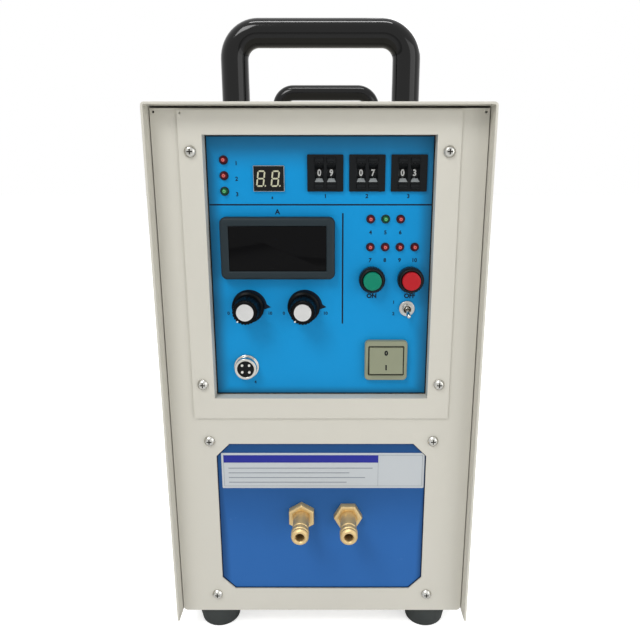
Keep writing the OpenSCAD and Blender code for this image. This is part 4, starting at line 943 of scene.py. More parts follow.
class HEATER_OT_label(bpy.types.Operator):
    """Add the blank label strip over the output connectors"""

    bl_idname = "heater.label"
    bl_label = "Label strip"

    def execute(self, context):
        face = box_mm("insulating_board")[0].y
        left, right, bottom, top = -75.0, 77.3, 127.5, 156.5
        thick, depth = 0.2, 0.05
        split, pitch = 42.6, 3.9
        centre = on_front((left + right) / 2, face, (bottom + top) / 2)
        shape = Shape()
        film = round_rect(right - left, top - bottom, 0.8)
        shape.slab(film, [(0, 0), (0, thick - 0.06), (0.06, thick)], centre)
        place = on_front(0, face - thick, 0)
        x0, x1, z0, z1 = left + 1.6, right - 1.6, bottom + 1.8, top - 1.8
        flat_line(shape, [(x0, z0), (x1, z0), (x1, z1), (x0, z1), (x0, z0)], 0.28, place, depth, 2)
        flat_line(shape, [(split, z0), (split, z1)], 0.28, place, depth, 2)
        band = on_front((x0 + split) / 2, face - thick, z1 - 3.0)
        levels = [(0, 0), (0, depth), (0.02, depth + 0.01)]
        shape.slab(round_rect(split - x0, 6.1, 0.1), levels, band, 1)
        for k, short in enumerate((4.5, 22.0, 10.0, 24.0)):
            z = top - 12.4 - pitch * k
            flat_line(shape, [(left + 5.4, z), (split - short, z)], 0.75, place, depth, 2)
        white = new_finish("Label film", linear("#B9BEC1"), 0.34, 0.08, tone=0.05, grain=1500, bump=0.04)
        navy = ink("Label navy ink", "#2A2F8F")
        grey = ink("Label grey ink", "#8D939A")
        finishes = [white, navy, grey]
        add_piece("label_strip", shape, finishes, "cabinet")
        return {"FINISHED"}


class HEATER_OT_handles(bpy.types.Operator):
    """Add the two carrying handles, swept along their bent bars"""

    bl_idname = "heater.handles"
    bl_label = "Handles"

    def execute(self, context):
        for node in ("front_handle", "rear_handle"):
            low, high = box_mm(node)
            radius = (high.y - low.y) / 2
            y = (low.y + high.y) / 2
            left, right, top = low.x + radius, high.x - radius, high.z - radius
            points = [(left, y, low.z), (left, y, top), (right, y, top), (right, y, low.z)]
            base = bpy.data.meshes.new("Handle line")
            base.from_pydata([Vector(p) * MM for p in points], [(0, 1), (1, 2), (2, 3)], [])
            values = {"Bar radius": radius * MM, "Bend radius": sizes().handle_bend}
            mesh = grown("Bent bar", base, values | {"Material": black_gloss()})
            shape = Shape()
            shape.mesh_in(mesh, Matrix.Identity(4))
            bpy.data.meshes.remove(mesh)
            gloss = [black_gloss()]
            add_piece("glossy_" + node, shape, gloss, "cabinet", [node])
        return {"FINISHED"}


class HEATER_OT_feet(bpy.types.Operator):
    """Add the four rubber feet"""

    bl_idname = "heater.feet"
    bl_label = "Feet"

    def execute(self, context):
        shape = Shape()
        for low, high in solids("feet"):
            centre = (low + high) / 2
            r = (high.x - low.x) / 2
            h = high.z - low.z
            well, washer, floor = 7.0, 6.0, 10.0
            corners = [(well, 0.2), (r - 4.0, 0.0, 1.6), (r, h, 1.2)]
            corners += [(washer, h), (washer, floor), (well, floor)]
            shape.turned(corners, standing(centre.x, centre.y, low.z), 64)
        rubber = new_finish(
            "Foot rubber", linear("#2C3130"), 0.72, 0.15, tone=0.25, tone_scale=80, grain=900, bump=0.3
        )
        add_piece("rubber_feet", shape, [rubber], "cabinet", ["feet"])
        return {"FINISHED"}


HEAD_H = 2.6  # height of a screw's head, in mm


def screw_mesh():
    """A pan-head screw with a cross recess, in metres, with its seat at zero."""
    shape = Shape()
    place = Matrix.Scale(MM, 4)
    corners = [(0, -12), (1.5, -12, 0.3), (2.0, -11, 0.5), (2.0, 0), (4.0, 0, 0.25)]
    corners += [(3.95, 0.9, 0.8), (2.6, 2.45, 2.2), (0, HEAD_H)]
    shape.turned(corners, place, 40, closed=False)
    head = in_scene("Head", shape.mesh("Head"))
    cutter = Shape()
    for turn in (0, 90):
        blade = Matrix.Rotation(math.radians(turn), 4, "Z")
        loops = [
            [(-x, -y, z), (x, -y, z), (x, y, z), (-x, y, z)]
            for x, y, z in ((1.25, 0.3, 0.9), (2.2, 0.5, 3.2))
        ]
        cutter.loft(loops, place @ blade)
    blades = in_scene("Blades", cutter.mesh("Blades"))
    cut = head.modifiers.new("Recess", "BOOLEAN")
    cut.operation = "DIFFERENCE"
    cut.solver = "EXACT"
    cut.use_self = True
    cut.object = blades
    mesh = evaluated_mesh(head)
    for holder in (head, blades):
        bpy.data.objects.remove(holder)
    return mesh


def recess_floor():
    """A dark cross of painted shade at the floor of a screw's cross recess, in metres."""
    shape = Shape()
    loops = []
    for reach, half, z in ((1.2, 0.29, 0.92), (1.85, 0.42, 2.15)):
        arm = [(half, half), (half, reach), (-half, reach)]
        loop = []
        for quarter in range(4):
            turn = Matrix.Rotation(math.radians(90 * quarter), 2)
            loop += [tuple(turn @ Vector(p)) for p in arm]
        loops.append([(x, y, z) for x, y in loop])
    shape.loft(loops, Matrix.Scale(MM, 4))
    return shape.mesh("Recess shadow")


class HEATER_OT_screws(bpy.types.Operator):
    """Add the cross-head screws of the cabinet, each set on its own place"""

    bl_idname = "heater.screws"
    bl_label = "Case screws"

    def execute(self, context):
        places = []
        for low, high in solids("case_screws"):
            size = high - low
            axis = 0 if size.x > size.z + 1 else 1
            centre = (low + high) / 2
            aim = Vector((0, 0, 0))
            aim[axis] = 1 if centre[axis] > 0 else -1
            outer = high[axis] if aim[axis] > 0 else low[axis]
            centre[axis] = outer - aim[axis] * HEAD_H
            places.append((centre * MM, aim))
        mesh = parts_on(places, screw_mesh(), steel())
        add_piece("cross_head_screws", mesh, [steel()], "cabinet", ["case_screws"])
        # A dark cross of painted shade sits in each screw's recess.
        recess_shade = soft_black("Painted recess shade", "#2B2A25", 0.6)
        recess_shadows = parts_on(places, recess_floor(), recess_shade)
        add_piece("screw_recesses", recess_shadows, [recess_shade])
        return {"FINISHED"}


class HEATER_OT_display(bpy.types.Operator):
    """Add the two-digit display with its unlit segments"""

    bl_idname = "heater.display"
    bl_label = "Time display"

    def execute(self, context):
        low, high, place, proud, back = seated("time_display", panel_face())
        lip = 1.5
        width, height = high.x - low.x - 2 * lip, high.z - low.z - 2 * lip
        shape = Shape()
        levels = [(0.3, back), (0.3, -0.2), (0, 0), (0, proud - 0.25), (0.25, proud)]
        shape.slab(round_rect(width, height, 0.4, 3), levels, place, cap_finish=1)
        face = place @ Matrix.Translation((0, 0, proud))
        for start in (1.7, 11.5):
            self.digit(shape, face, start - width / 2, 7.0, 10.8)
        shell = new_finish("Display shell", linear("#B9BDBA"), 0.5, 0.1, tone=0.1, grain=1200)
        black = new_finish(
            "Display face", linear("#0B0C0C"), 0.25, 0.06, tone=0.1, grain=1200, specular=0.2
        )
        segment = new_finish("Unlit segment", linear("#BDBCA0"), 0.45, 0.1, tone=0.08, grain=2000)
        finishes = [shell, black, segment]
        add_piece("two_digit_display", shape, finishes, "cabinet", ["time_display"])
        return {"FINISHED"}

    def digit(self, shape, face, left, width, height):
        """One slanted seven-segment eight with its point."""
        thick, gap, slant = 1.0, 0.22, math.tan(math.radians(7))
        half = height / 2
        wide = width - thick - 1.6

        def segment(points):
            slanted = [(left + x + slant * (y + half), y) for x, y in points]
            shape.plate(slanted, 0, 0.03, face, 2)

        def lying(y):
            x0, x1, t = thick / 2 + gap, thick / 2 + wide - gap, thick / 2
            below, above = [(x0 + t, y - t), (x1 - t, y - t)], [(x1 - t, y + t), (x0 + t, y + t)]
            segment([(x0, y), *below, (x1, y), *above])

        def upright(x, y0, y1):
            t = thick / 2
            y0, y1 = y0 + gap, y1 - gap
            right, left = [(x + t, y0 + t), (x + t, y1 - t)], [(x - t, y1 - t), (x - t, y0 + t)]
            segment([(x, y0), *right, (x, y1), *left])

        edge = half - thick / 2
        for y in (-edge, 0, edge):
            lying(y)
        for x in (thick / 2, thick / 2 + wide):
            upright(x, -edge, 0)
            upright(x, 0, edge)
        dot = [polar(thick * 0.55, 22.5 * k) for k in range(16)]
        segment([(x + wide + 1.9, y - half + 0.6) for x, y in dot])


class HEATER_OT_meter(bpy.types.Operator):
    """Add the current meter: its slate bezel and dark window"""

    bl_idname = "heater.meter"
    bl_label = "Current meter"

    def execute(self, context):
        low, high, place, proud, back = seated("current_meter", panel_face())
        width, height = high.x - low.x, high.z - low.z
        shape = Shape()
        shape.slab(round_rect(width - 4, height - 4, 1.5), [(0, back), (0, -0.1)], place)
        levels = [(0, 0), (0, proud - 1.9), (0.18, proud - 1.2), (0.6, proud - 0.6), (1.3, proud - 0.2)]
        levels += [(2.2, proud), (5.0, proud), (5.5, proud - 0.15), (5.85, proud - 0.5)]
        levels += [(6.0, proud - 1.4)]
        shape.slab(round_rect(width, height, 4.2, 8), levels, place)
        slate = new_finish(
            "Meter slate plastic", linear("#202B30"), 0.5, 0.12, tone=0.12, tone_scale=50,
            grain=1300, bump=0.2, specular=0.2,
        )
        add_piece("meter_bezel", shape, [slate], "cabinet", ["current_meter"])
        low, high = box_mm("meter_window")
        pane = Shape()
        thick = high.y - low.y
        place = on_front((low.x + high.x) / 2, high.y, (low.z + high.z) / 2)
        levels = [(0.05, 0), (0.05, thick - 0.3), (0.15, thick - 0.12), (0.35, thick)]
        pane.slab(round_rect(high.x - low.x, high.z - low.z, 1.0, 4), levels, place)
        glass = new_finish(
            "Dark meter window", linear("#070708"), 0.09, 0.03, tone=0.3, tone_scale=26, grain=300,
            bump=0.02, specular=0.08,
        )
        add_piece("meter_pane", pane, [glass], "cabinet", ["meter_window"])
        return {"FINISHED"}


def rim_mesh():
    """The black rim of one lamp, in metres, with the panel at zero."""
    shape = Shape()
    place = Matrix.Scale(MM, 4)
    rim = eased([(2.45, 0), (3.1, 0), (3.1, 0.6, 0.3), (2.45, 0.6, 0.1)], closed=True, steps=2)
    shape.lathe(rim, place, steps=32, closed=True)
    return shape.mesh("Lamp rim")


def lens_mesh(depth, proud):
    """One domed lens, in metres."""
    shape = Shape()
    r, dome = 2.45, 2.4
    profile = [(0, -depth), (r, -depth), (r, proud - dome)]
    for k in range(1, 9):
        across, up = polar(1, 90 * k / 9)
        profile.append((r * across, proud - dome + dome * up))
    profile += [(0.5, proud - 0.015), (0.25, proud - 0.0075), (0, proud)]
    shape.lathe(profile, Matrix.Scale(MM, 4), steps=32)
    return shape.mesh("Lens")


class HEATER_OT_lamps(bpy.types.Operator):
    """Add the red and green lamps, each with its rim"""

    bl_idname = "heater.lamps"
    bl_label = "Lamps"

    def execute(self, context):
        face_y = panel_face()
        rims = []
        red = lamp_finish("Red lens", colours().red_lamp, linear("#E06A64"))
        green = lamp_finish("Green lens", colours().green_lamp, linear("#5FB777"))
        lenses = (("red_lamps", "red_lens", red), ("green_lamps", "green_lens", green))
        for node, slot, finish in lenses:
            places = []
            for low, high in solids(node):
                centre = (low + high) / 2
                places.append((Vector((centre.x, face_y, centre.z)) * MM, Vector((0, -1, 0))))
                depth, proud = high.y - face_y, face_y - low.y
            rims += places
            mesh = parts_on(places, lens_mesh(depth, proud), finish)
            add_piece(node + "_lenses", mesh, [finish], "cabinet", [node])
        collar = soft_black("Lamp rim", "#2A2326", 0.35)
        mesh = parts_on(rims, rim_mesh(), collar)
        add_piece("lamp_rims", mesh, [collar])
        return {"FINISHED"}


class HEATER_OT_timers(bpy.types.Operator):
    """Add the timer housings, their digit wheels and their push keys"""

    bl_idname = "heater.timers"
    bl_label = "Timers"

    def execute(self, context):
        housing = soft_black("Timer housing", "#0C0F11", 0.4)
        # The upward slope below each digit window is painted light grey as a highlight, where the black
        # housing catches light from above.
        lit_slope = new_finish(
            "Window slope highlight", linear("#8E9394"), 0.4, tone=0.2, tone_scale=300, grain=1500
        )
        mesh = rounded_copy("timer_housings", 0.15)
        mesh.materials.append(housing)
        mesh.materials.append(lit_slope)
        front = box_mm("timer_housings")[0].y * MM
        for face in mesh.polygons:
            slanted = face.normal.z > 0.4 and face.normal.y < -0.4
            if slanted and face.center.y > front + 0.0003 and face.area > 2e-6:
                face.material_index = 1
        finishes, nodes = [housing, lit_slope], ["timer_housings"]
        add_piece("timer_cases", mesh, finishes, "cabinet", nodes, crease=None)
        shown = {"heating": (0, 9), "retaining": (0, 7), "cooling": (0, 3)}
        drum = soft_black("Digit wheel", "#101214", 0.5)
        white = new_finish("Numeral white", linear("#D9DAD6"), 0.5, 0.1, tone=0.06, grain=2000)
        keys = soft_black("Timer key", "#121517", 0.5)
        for timer, digits in shown.items():
            for place, digit in zip(("tens", "units"), digits):
                node = f"{timer}_{place}_wheel"
                self.wheel(node, digit, drum, white)
                for way in ("up", "down"):
                    key = f"{timer}_{place}_{way}_key"
                    dressed(key, "push_" + key, 0.2, keys, body=key)
        return {"FINISHED"}

    def wheel(self, node, digit, drum, white):
        """A ten-sided drum with a numeral on each flat."""
        low, high = box_mm(node)
        centre = (low + high) / 2
        radius = (high.z - low.z) / 2
        half = (high.x - low.x) / 2
        wide = half - 0.55
        shape = Shape()
        across = standing(centre.x, centre.y, centre.z) @ Matrix.Rotation(math.radians(90), 4, "Y")
        step = 360 / 10
        rim, hub, bore = ([polar(r, step * k) for k in range(10)] for r in (radius, 3.5, 1.56))
        rings = [(bore, -half), (hub, -half), (hub, -wide), (rim, -wide)]
        rings += [(ring, -z) for ring, z in reversed(rings)]
        loops = [[(x, y, z) for x, y in ring] for ring, z in rings]
        shape.loft(loops, across, closed=True)
        flat = radius * math.cos(math.radians(step / 2))
        for k in range(10):
            place = (
                standing(centre.x, centre.y, centre.z)
                @ Matrix.Rotation(math.radians(90 - step * k), 4, "X")
                @ Matrix.Translation((0, 0, flat - 0.01))
                @ Matrix.Diagonal((0.86, 1, 1, 1))
            )
            shape.words(str((digit + k) % 10), 4.3, place, 0.05, 1)
        finishes = [drum, white]
        add_piece("numbered_" + node, shape, finishes, node, [node], crease=20)


class HEATER_OT_knobs(bpy.types.Operator):
    """Add the two ribbed knobs and their spun aluminium caps"""

    bl_idname = "heater.knobs"
    bl_label = "Knobs"

    def execute(self, context):
        black = new_finish(
            "Knob black", linear("#0A0B0C"), 0.34, tone=0.2, tone_scale=90, grain=1300, bump=0.08,
            specular=0.07,
        )
        spun = new_finish(
            "Spun aluminium", linear("#DCDCDA"), 0.24, 0.12, metallic=1, tone=0.15, tone_scale=150,
            grain=1500, bump=0.35, bump_mm=0.04, rings=1.9,
        )
        white = new_finish("Pointer white", linear("#E2E3E0"), 0.4, 0.1, tone=0.05, grain=2000)
        for node in ("heat_knob", "retain_knob"):
            face_y = panel_face()
            low, high, place, top, back = seated(node, face_y)
            foot = 1.0
            skirt = (high.x - low.x) / 2
            grip = 9.0
            shape = Shape()
            corners = [
                (3.1, back), (3.0, foot), (skirt - 0.4, foot, 0.15),
                (skirt, foot + 0.7, 0.2), (skirt - 0.4, foot + 2.2, 0.5),
                (grip + 0.7, foot + 3.0, 1.0), (grip - 0.3, foot + 4.6, 0.8),
                (grip - 0.55, top - 1.3, 0.6), (grip - 1.5, top, 0.3), (6.0, top, 0.1),
                (5.8, top - 1.0), (3.1, top - 1.0),
            ]
            shape.turned(corners, place, 96)
            grip_rib = rib(1.3, 0.42, foot + 2.6, top - 0.7)
            add_ribs(shape, place, sizes().knob_ribs, grip - 0.5, grip_rib, black)
            add_piece("ribbed_" + node, shape, [black], node, [node], crease=40)
            cap = Shape()
            radius = 6.4
            cap_low, cap_high = box_mm(node + "_cap")
            cap_foot, cap_top = face_y - cap_high.y, face_y - cap_low.y
            rings = [(0, cap_foot), (radius - 0.1, cap_foot), (radius, cap_top - 0.5)]
            rings += [(radius - 0.35, cap_top - 0.12), (radius - 0.8, cap_top)]
            rings += [(r * 0.4, cap_top - (0.05 if r % 2 else 0.0)) for r in range(13, 0, -1)]
            rings.append((0, cap_top - 0.02))
            cap.lathe(rings, place, steps=72)
            start, end, half, turn = radius - 0.2, grip - 0.2, 0.5, math.radians(230)
            pointer = [(start, -half), (end, -half), (end, half), (start, half)]
            aimed = place @ Matrix.Rotation(turn, 4, "Z")
            cap.plate(pointer, top - 0.2, cap_top - 0.3, aimed, 1)
            finishes, stands_for = [spun, white], [node + "_cap"]
            name = "spun_" + node + "_cap"
            add_piece(name, cap, finishes, node, stands_for, crease=50)
        return {"FINISHED"}


class HEATER_OT_buttons(bpy.types.Operator):
    """Add the start and stop buttons and their ribbed bezels"""

    bl_idname = "heater.buttons"
    bl_label = "Start and stop buttons"

    def execute(self, context):
        black = soft_black("Button bezel", "#17191B", 0.36)
        face_y = panel_face()
        collars = Shape()
        for node, colour, slot in (
            ("start_button", colours().start, "start_green"),
            ("stop_button", colours().stop, "stop_red"),
        ):
            low, high, place, top, foot = seated(node, face_y)
            bezels = solids("button_bezels")
            bezel_low, bezel_high = min(bezels, key=lambda b: abs(b[0].x + b[1].x - low.x - high.x))
            outer = (bezel_high.x - bezel_low.x) / 2
            proud, back = face_y - bezel_low.y, face_y - bezel_high.y
            radius = (high.x - low.x) / 2
            corners = [
                (radius + 0.12, back + 1), (7.8, back + 1), (7.8, -0.05), (outer - 0.35, 0, 0.1),
                (outer - 0.4, proud - 1.8, 0.4), (outer - 1.5, proud - 0.2, 0.9),
                (radius + 0.9, proud, 0.3), (radius + 0.12, proud - 0.5, 0.1),
            ]
            collars.turned(corners, place)
            collar_rib = rib(0.8, 0.32, 0.4, proud - 1.5)
            add_ribs(collars, place, sizes().bezel_ribs, outer - 0.45, collar_rib, black)
            cap = Shape()
            corners = [
                (0, foot), (2.5, foot, 0.2), (2.5, proud - 4.5), (radius, proud - 4.5),
                (radius, top - 0.2, 0.55), (radius - 1.6, top, 0.4),
                (radius - 2.4, top - 0.12, 0.4), (0, top - 0.25),
            ]
            cap.turned(corners, place, closed=False)
            finish = new_finish(
                slot.replace("_", " ").title(), colour, 0.34, 0.08, tone_scale=90, grain=1400,
                bump=0.06, specular=0.2,
            )
            add_piece("pressed_" + node, cap, [finish], node, [node], crease=40)
        nodes = ["button_bezels"]
        add_piece("ribbed_bezels", collars, [black], "cabinet", nodes, crease=40)
        return {"FINISHED"}


class HEATER_OT_toggle(bpy.types.Operator):
    """Add the toggle switch with its nut and lever"""

    bl_idname = "heater.toggle"
    bl_label = "Toggle switch"

    def execute(self, context):
        dressed("toggle_switch", "toggle_bushing", 0.2, steel())
        knurl = Shape()
        centre = middle("toggle_switch")
        place = on_front(centre.x, box_mm("control_panel")[0].y, centre.z)
        inner, outer, low, high = 3.3, 4.9, 1.9, 2.15
        add_ribs(knurl, place, 20, outer, rib(0.9, 0.45, 0.15, 1.95), steel())
        corners = [(inner, low), (outer, low), (outer, high, 0.1), (inner, high)]
        knurl.turned(corners, place, 48)
        add_piece("toggle_knurl", knurl, [steel()])
        lever = "toggle_lever"
        dressed(lever, "toggle_bat", 0.15, bright_metal(), body=lever)
        return {"FINISHED"}


class HEATER_OT_power_switch(bpy.types.Operator):
    """Add the power switch: its frame and its rocker with plain marks"""

    bl_idname = "heater.power_switch"
    bl_label = "Power switch"

    def execute(self, context):
        grey = new_finish(
            "Switch grey-green", colours().switch, 0.36, 0.08, tone_scale=60, grain=1300, bump=0.08
        )
        dressed("power_switch_frame", "switch_frame", 0.5, grey, steps=3)
        # A dark ring of painted shade round the rocker stands for the shadow in the gap round it.
        lip = Shape()
        centre = middle("power_switch_frame")
        front = box_mm("power_switch_frame")[0].y
        width, height = 26.0, 22.2
        place = on_front(centre.x, front, centre.z)
        lip.ring(round_rect(width, height, 0.8, 3), 0.0, 0.62, -0.1, 0.05, 0.04, place)
        dark = soft_black("Rocker shadow ring", "#24261F", 0.6)
        add_piece("rocker_lip", lip, [dark])
        mesh = rounded_copy("power_rocker", 0.35, steps=3)
        low, high = box_mm("power_rocker")
        shape = Shape()
        shape.mesh_in(mesh, Matrix.Identity(4))
        centre = (low + high) / 2
        for text, lift in (("0", 5.8), ("1", -4.8)):
            spot, normal = self.face_at(mesh, centre.x, centre.z + lift)
            tilt = math.atan2(normal.z, -normal.y)
            place = (
                Matrix.Translation(spot)
                @ Matrix.Rotation(math.radians(90) - tilt, 4, "X")
                @ Matrix.Scale(MM, 4)
            )
            shape.words(text, 3.4, place @ Matrix.Translation((0, 0, -0.02)), 0.06, 1, 0.09)
        finishes, node = [grey, ink("Rocker mark", "#14161A")], "power_rocker"
        add_piece("marked_rocker", shape, finishes, node, [node], crease=30)
        return {"FINISHED"}

    def face_at(self, mesh, x, z):
        """Where a line from the front meets the rocker, and the face's direction."""
        work = bmesh.new()
        work.from_mesh(mesh)
        start, ahead = Vector((x * MM, -0.5, z * MM)), Vector((0, 1, 0))
        spot, normal, _, _ = BVHTree.FromBMesh(work).ray_cast(start, ahead)
        work.free()
        if spot is None:
            raise RuntimeError("The rocker's face was not found")
        return spot, normal


class HEATER_OT_socket(bpy.types.Operator):
    """Add the four-pin remote socket"""

    bl_idname = "heater.socket"
    bl_label = "Remote socket"

    def execute(self, context):
        _, _, place, proud, back = seated("remote_socket", panel_face())
        shape = Shape()
        corners = [
            (6.3, back + 0.5), (7.2, back), (7.2, -0.02), (9.1, -0.02, 0.1), (9.1, 1.5, 0.5),
            (7.9, 1.5, 0.2), (7.9, proud, 0.5), (6.05, proud, 0.3), (6.05, proud - 1.4),
            (6.0, proud - 2.0),
        ]
        shape.turned(corners, place)
        floor = proud - 1.5
        insert = [(0, back + 1), (6.3, back + 1), (6.0, floor - 0.2), (5.8, floor), (0, floor)]
        shape.lathe(insert, place, 64, 1)
        inner, outer, low, high = 0.9, 1.15, floor - 0.4, floor + 0.12
        collar = [(outer, low), (outer, high, 0.08), (inner, high), (inner, low)]
        post = [(0, floor - 0.5), (0.95, floor - 0.5), (0.95, floor + 1.1, 0.4), (0, floor + 1.2)]
        reach = 2.55
        for x in (-reach, reach):
            for y in (-reach, reach):
                pin = place @ Matrix.Translation((x, y, 0))
                shape.turned(collar, pin, 24, 1)
                shape.turned(post, pin, 24, 2, closed=False)
        black = soft_black("Socket insert", "#0B0C0E", 0.4)
        pins = new_finish("Pin plating", linear("#E4E3DC"), 0.4, 0.1, metallic=0.6, tone=0.1, grain=1500)
        finishes = [bright_metal(), black, pins]
        add_piece("round_socket", shape, finishes, "cabinet", ["remote_socket"])
        return {"FINISHED"}


class HEATER_OT_outputs(bpy.types.Operator):
    """Add the two turned brass output connectors with their nuts"""

    bl_idname = "heater.outputs"
    bl_label = "Output connectors"

    def execute(self, context):
        board = box_mm("insulating_board")[0].y
        tubes = [b for b in solids("output_connectors") if b[1].y - b[0].y > 20]
        shape = Shape()
        for (low, high), turn in zip(tubes, (90, 60)):
            centre = (low + high) / 2
            place = on_front(centre.x, board, centre.z)
            reach, tail = board - low.y, board - high.y
            bore = 3.15
            corners = [
                (bore, tail, 0.3), (6.0, tail, 0.4), (6.0, -7.0), (10.0, -7.0, 0.4),
                (10.0, -4.0, 0.4), (6.0, -4.0), (6.0, reach - 20.0, 0.3), (5.8, reach - 19.0, 0.3),
                (6.0, reach - 18.0, 0.3), (6.0, reach - 10.2, 0.3), (5.2, reach - 9.7, 0.3),
                (5.2, reach - 8.9, 0.3), (6.5, reach - 8.3, 0.5), (6.5, reach - 4.6, 0.5),
                (5.9, reach - 3.9, 0.4), (6.4, reach - 3.2, 0.5), (6.4, reach - 1.6, 0.5),
                (5.3, reach, 0.4), (3.9, reach, 0.3), (bore, reach - 1.0, 0.2),
            ]
            shape.turned(corners, place)
            nut = hexagon(19, turn, 0.7)
            levels = [(0.4, 0), (0, 0.5), (0, 4.9), (0.35, 5.6), (1.2, 6.0)]
            loops = stacked(nut, levels)
            turns = [math.degrees(math.atan2(y, x)) for x, y in nut(0)]
            for z, r in ((6.0, 8.2), (5.7, 6.9), (5.2, 6.06), (0.0, 6.06)):
                loops.append([(*polar(r, angle), z) for angle in turns])
            shape.loft(loops, place, closed=True)
        nodes = ["output_connectors"]
        add_piece("brass_connectors", shape, [brass()], "cabinet", nodes, crease=38)
        return {"FINISHED"}


class HEATER_OT_rear(bpy.types.Operator):
    """Add the rear fittings: fan, water barbs and cable gland"""

    bl_idname = "heater.rear"
    bl_label = "Fan and rear fittings"

    def execute(self, context):
        fan = soft_black("Fan frame", "#1A1C1D", 0.5)
        blades = new_finish("Fan blades", linear("#33383A"), 0.42, tone=0.12, tone_scale=40, grain=1300)
        gland = soft_black("Gland plastic", "#4A4E50", 0.5)
        dressed("fan_frame", "fan_case", 0.4, fan)
        dressed("fan_rotor", "fan_blades", 0.4, blades, body="fan_rotor")
        dressed("water_fittings", "water_barbs", 0.25, brass())
        dressed("cable_gland", "cord_gland", 0.5, gland)
        return {"FINISHED"}


class HEATER_OT_works(bpy.types.Operator):
    """Finish the inner works that the CAD frame already shows"""

    bl_idname = "heater.works"
    bl_label = "Inner works"

    def execute(self, context):
        def plain(name, code, roughness, spread=0.1, **settings):
            return new_finish(name, linear(code), roughness, spread, **settings)

        ferrite = plain("Ferrite", "#3A3B3D", 0.55, 0.14, tone=0.2, tone_scale=60, bump=0.3)
        copper = plain("Copper tube", "#B87348", 0.32, 0.18, metallic=1, tone=0.3, tone_scale=90)
        aluminium = plain("Sink aluminium", "#B9BCBE", 0.38, 0.14, metallic=1, tone=0.18)
        green = plain("Circuit board green", "#1F6B3A", 0.4, 0.12, tone=0.2, tone_scale=120)
        finishes = {
            "mounting_bolts": steel(),
            "potentiometers": steel(),
            "output_transformer": ferrite,
            "transformer_windings": copper,
            "heat_sink": aluminium,
            "power_modules": soft_black("Power module", "#202224", 0.45),
            "capacitor_bank": plain("Capacitor sleeve", "#27507F", 0.35, tone=0.12, grain=1200),
            "control_board": green,
            "cooling_hoses": plain("Hose blue", "#2F6FA8", 0.45, tone=0.12, grain=800),
        }
        for node, finish in finishes.items():
            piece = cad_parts[node]
            piece.data.materials.clear()
            piece.data.materials.append(finish)
        return {"FINISHED"}


# ---------------------------------------------------------------- stage


class HEATER_OT_stage(bpy.types.Operator):
    """Add the pale floor, the soft lights, the white surround and the camera"""

    bl_idname = "heater.stage"
    bl_label = "Stage"

    def execute(self, context):
        scene = context.scene
        floor_mesh = bpy.data.meshes.new("Floor")
        floor_mesh.from_pydata([(-6, -6, 0), (6, -6, 0), (6, 6, 0), (-6, 6, 0)], [], [(0, 1, 2, 3)])
        floor = in_scene("Floor", floor_mesh)
        floor.data.materials.append(self.floor_finish())
        self.world(scene)
        self.lamp("Key light", (-0.7, -1.3, 1.7), 0.7, 15.5)
        self.lamp("Fill light", (1.3, -1.2, 0.6), 1.3, 8.5)
        self.lamp("Top light", (0, -0.3, 1.9), 0.16, 9.0, long=1.0)
        self.lamp("Rear light", (0.7, 1.5, 1.3), 1.0, 9.0)
        camera = in_scene("Camera", bpy.data.cameras.new("Camera"))
        camera.data.sensor_width, camera.data.lens = 36, 34.85  # fitted to the photo
        camera.data.clip_start = 0.01
        camera.data.shift_x = -0.0189
        camera.location = (0.008, -0.6495, 0.3684)
        camera.rotation_euler = (math.radians(75.53), 0, 0)
        scene.camera = camera
        scene.view_settings.view_transform = "Standard"
        return {"FINISHED"}

    def floor_finish(self):
        """White floor that keeps the shadow and shows white to the camera."""
        material = bpy.data.materials.new("White floor")
        material.use_nodes = True
        tree = material.node_tree
        shader = tree.nodes["Principled BSDF"]
        end = tree.nodes["Material Output"]
        where = put(tree, "ShaderNodeTexCoord", "Object")
        mottle = put(tree, "ShaderNodeTexNoise", "Fac", {"Vector": where, "Scale": 3})
        inputs = {"Value": mottle, "To Min": 0.86, "To Max": 0.9}
        pale = put(tree, "ShaderNodeMapRange", "Result", inputs)
        tree.links.new(pale, shader.inputs["Base Color"])
        shader.inputs["Roughness"].default_value = 0.9
        shader.inputs["Specular IOR Level"].default_value = 0.1
        plain = shader.outputs["BSDF"]
        glow = put(tree, "ShaderNodeEmission", "Emission", {"Strength": 0.6})
        both = put(tree, "ShaderNodeAddShader", "Shader", {0: plain, 1: glow})
        seen = put(tree, "ShaderNodeLightPath", "Is Camera Ray")
        shown = put(tree, "ShaderNodeMixShader", "Shader", {"Fac": seen, 1: plain, 2: both})
        tree.links.new(shown, end.inputs["Surface"])
        return material

    def world(self, scene):
        """Plain soft surround that shows white where it is seen."""
        world = bpy.data.worlds.new("Studio")
        scene.world = world
        world.use_nodes = True
        tree = world.node_tree
        soft = tree.nodes["Background"]
        soft.inputs["Color"].default_value = (1, 1, 1, 1)
        soft.inputs["Strength"].default_value = 0.53
        inputs = {"Color": (1, 1, 1, 1), "Strength": 1.0}
        white = put(tree, "ShaderNodeBackground", "Background", inputs)
        path = put(tree, "ShaderNodeLightPath").outputs
        seen = calc(tree, "MAXIMUM", path["Is Camera Ray"], path["Is Glossy Ray"])
        seen = calc(tree, "MAXIMUM", seen, path["Is Transmission Ray"])
        inputs = {"Fac": seen, 1: soft.outputs["Background"], 2: white}
        shown = put(tree, "ShaderNodeMixShader", "Shader", inputs)
        tree.links.new(shown, tree.nodes["World Output"].inputs["Surface"])

    def lamp(self, name, place, size, power, long=None):
        """An area lamp, or a long tube, aimed at the cabinet's middle."""
        data = bpy.data.lights.new(name, "AREA")
        data.size = size
        if long:
            data.shape = "RECTANGLE"
            data.size = long
            data.size_y = size
        data.energy = power
        holder = in_scene(name, data)
        holder.location = place
        aim = Vector((0, -0.1, 0.22)) - Vector(place)
        holder.rotation_euler = aim.to_track_quat("-Z", "Y").to_euler()


# ---------------------------------------------------------------- settings and panel


def colour_setting(name, description, code):
    """A colour property with its default."""
    return bpy.props.FloatVectorProperty(
        name=name, description=description, default=linear(code), size=3, min=0, max=1, subtype="COLOR"
    )


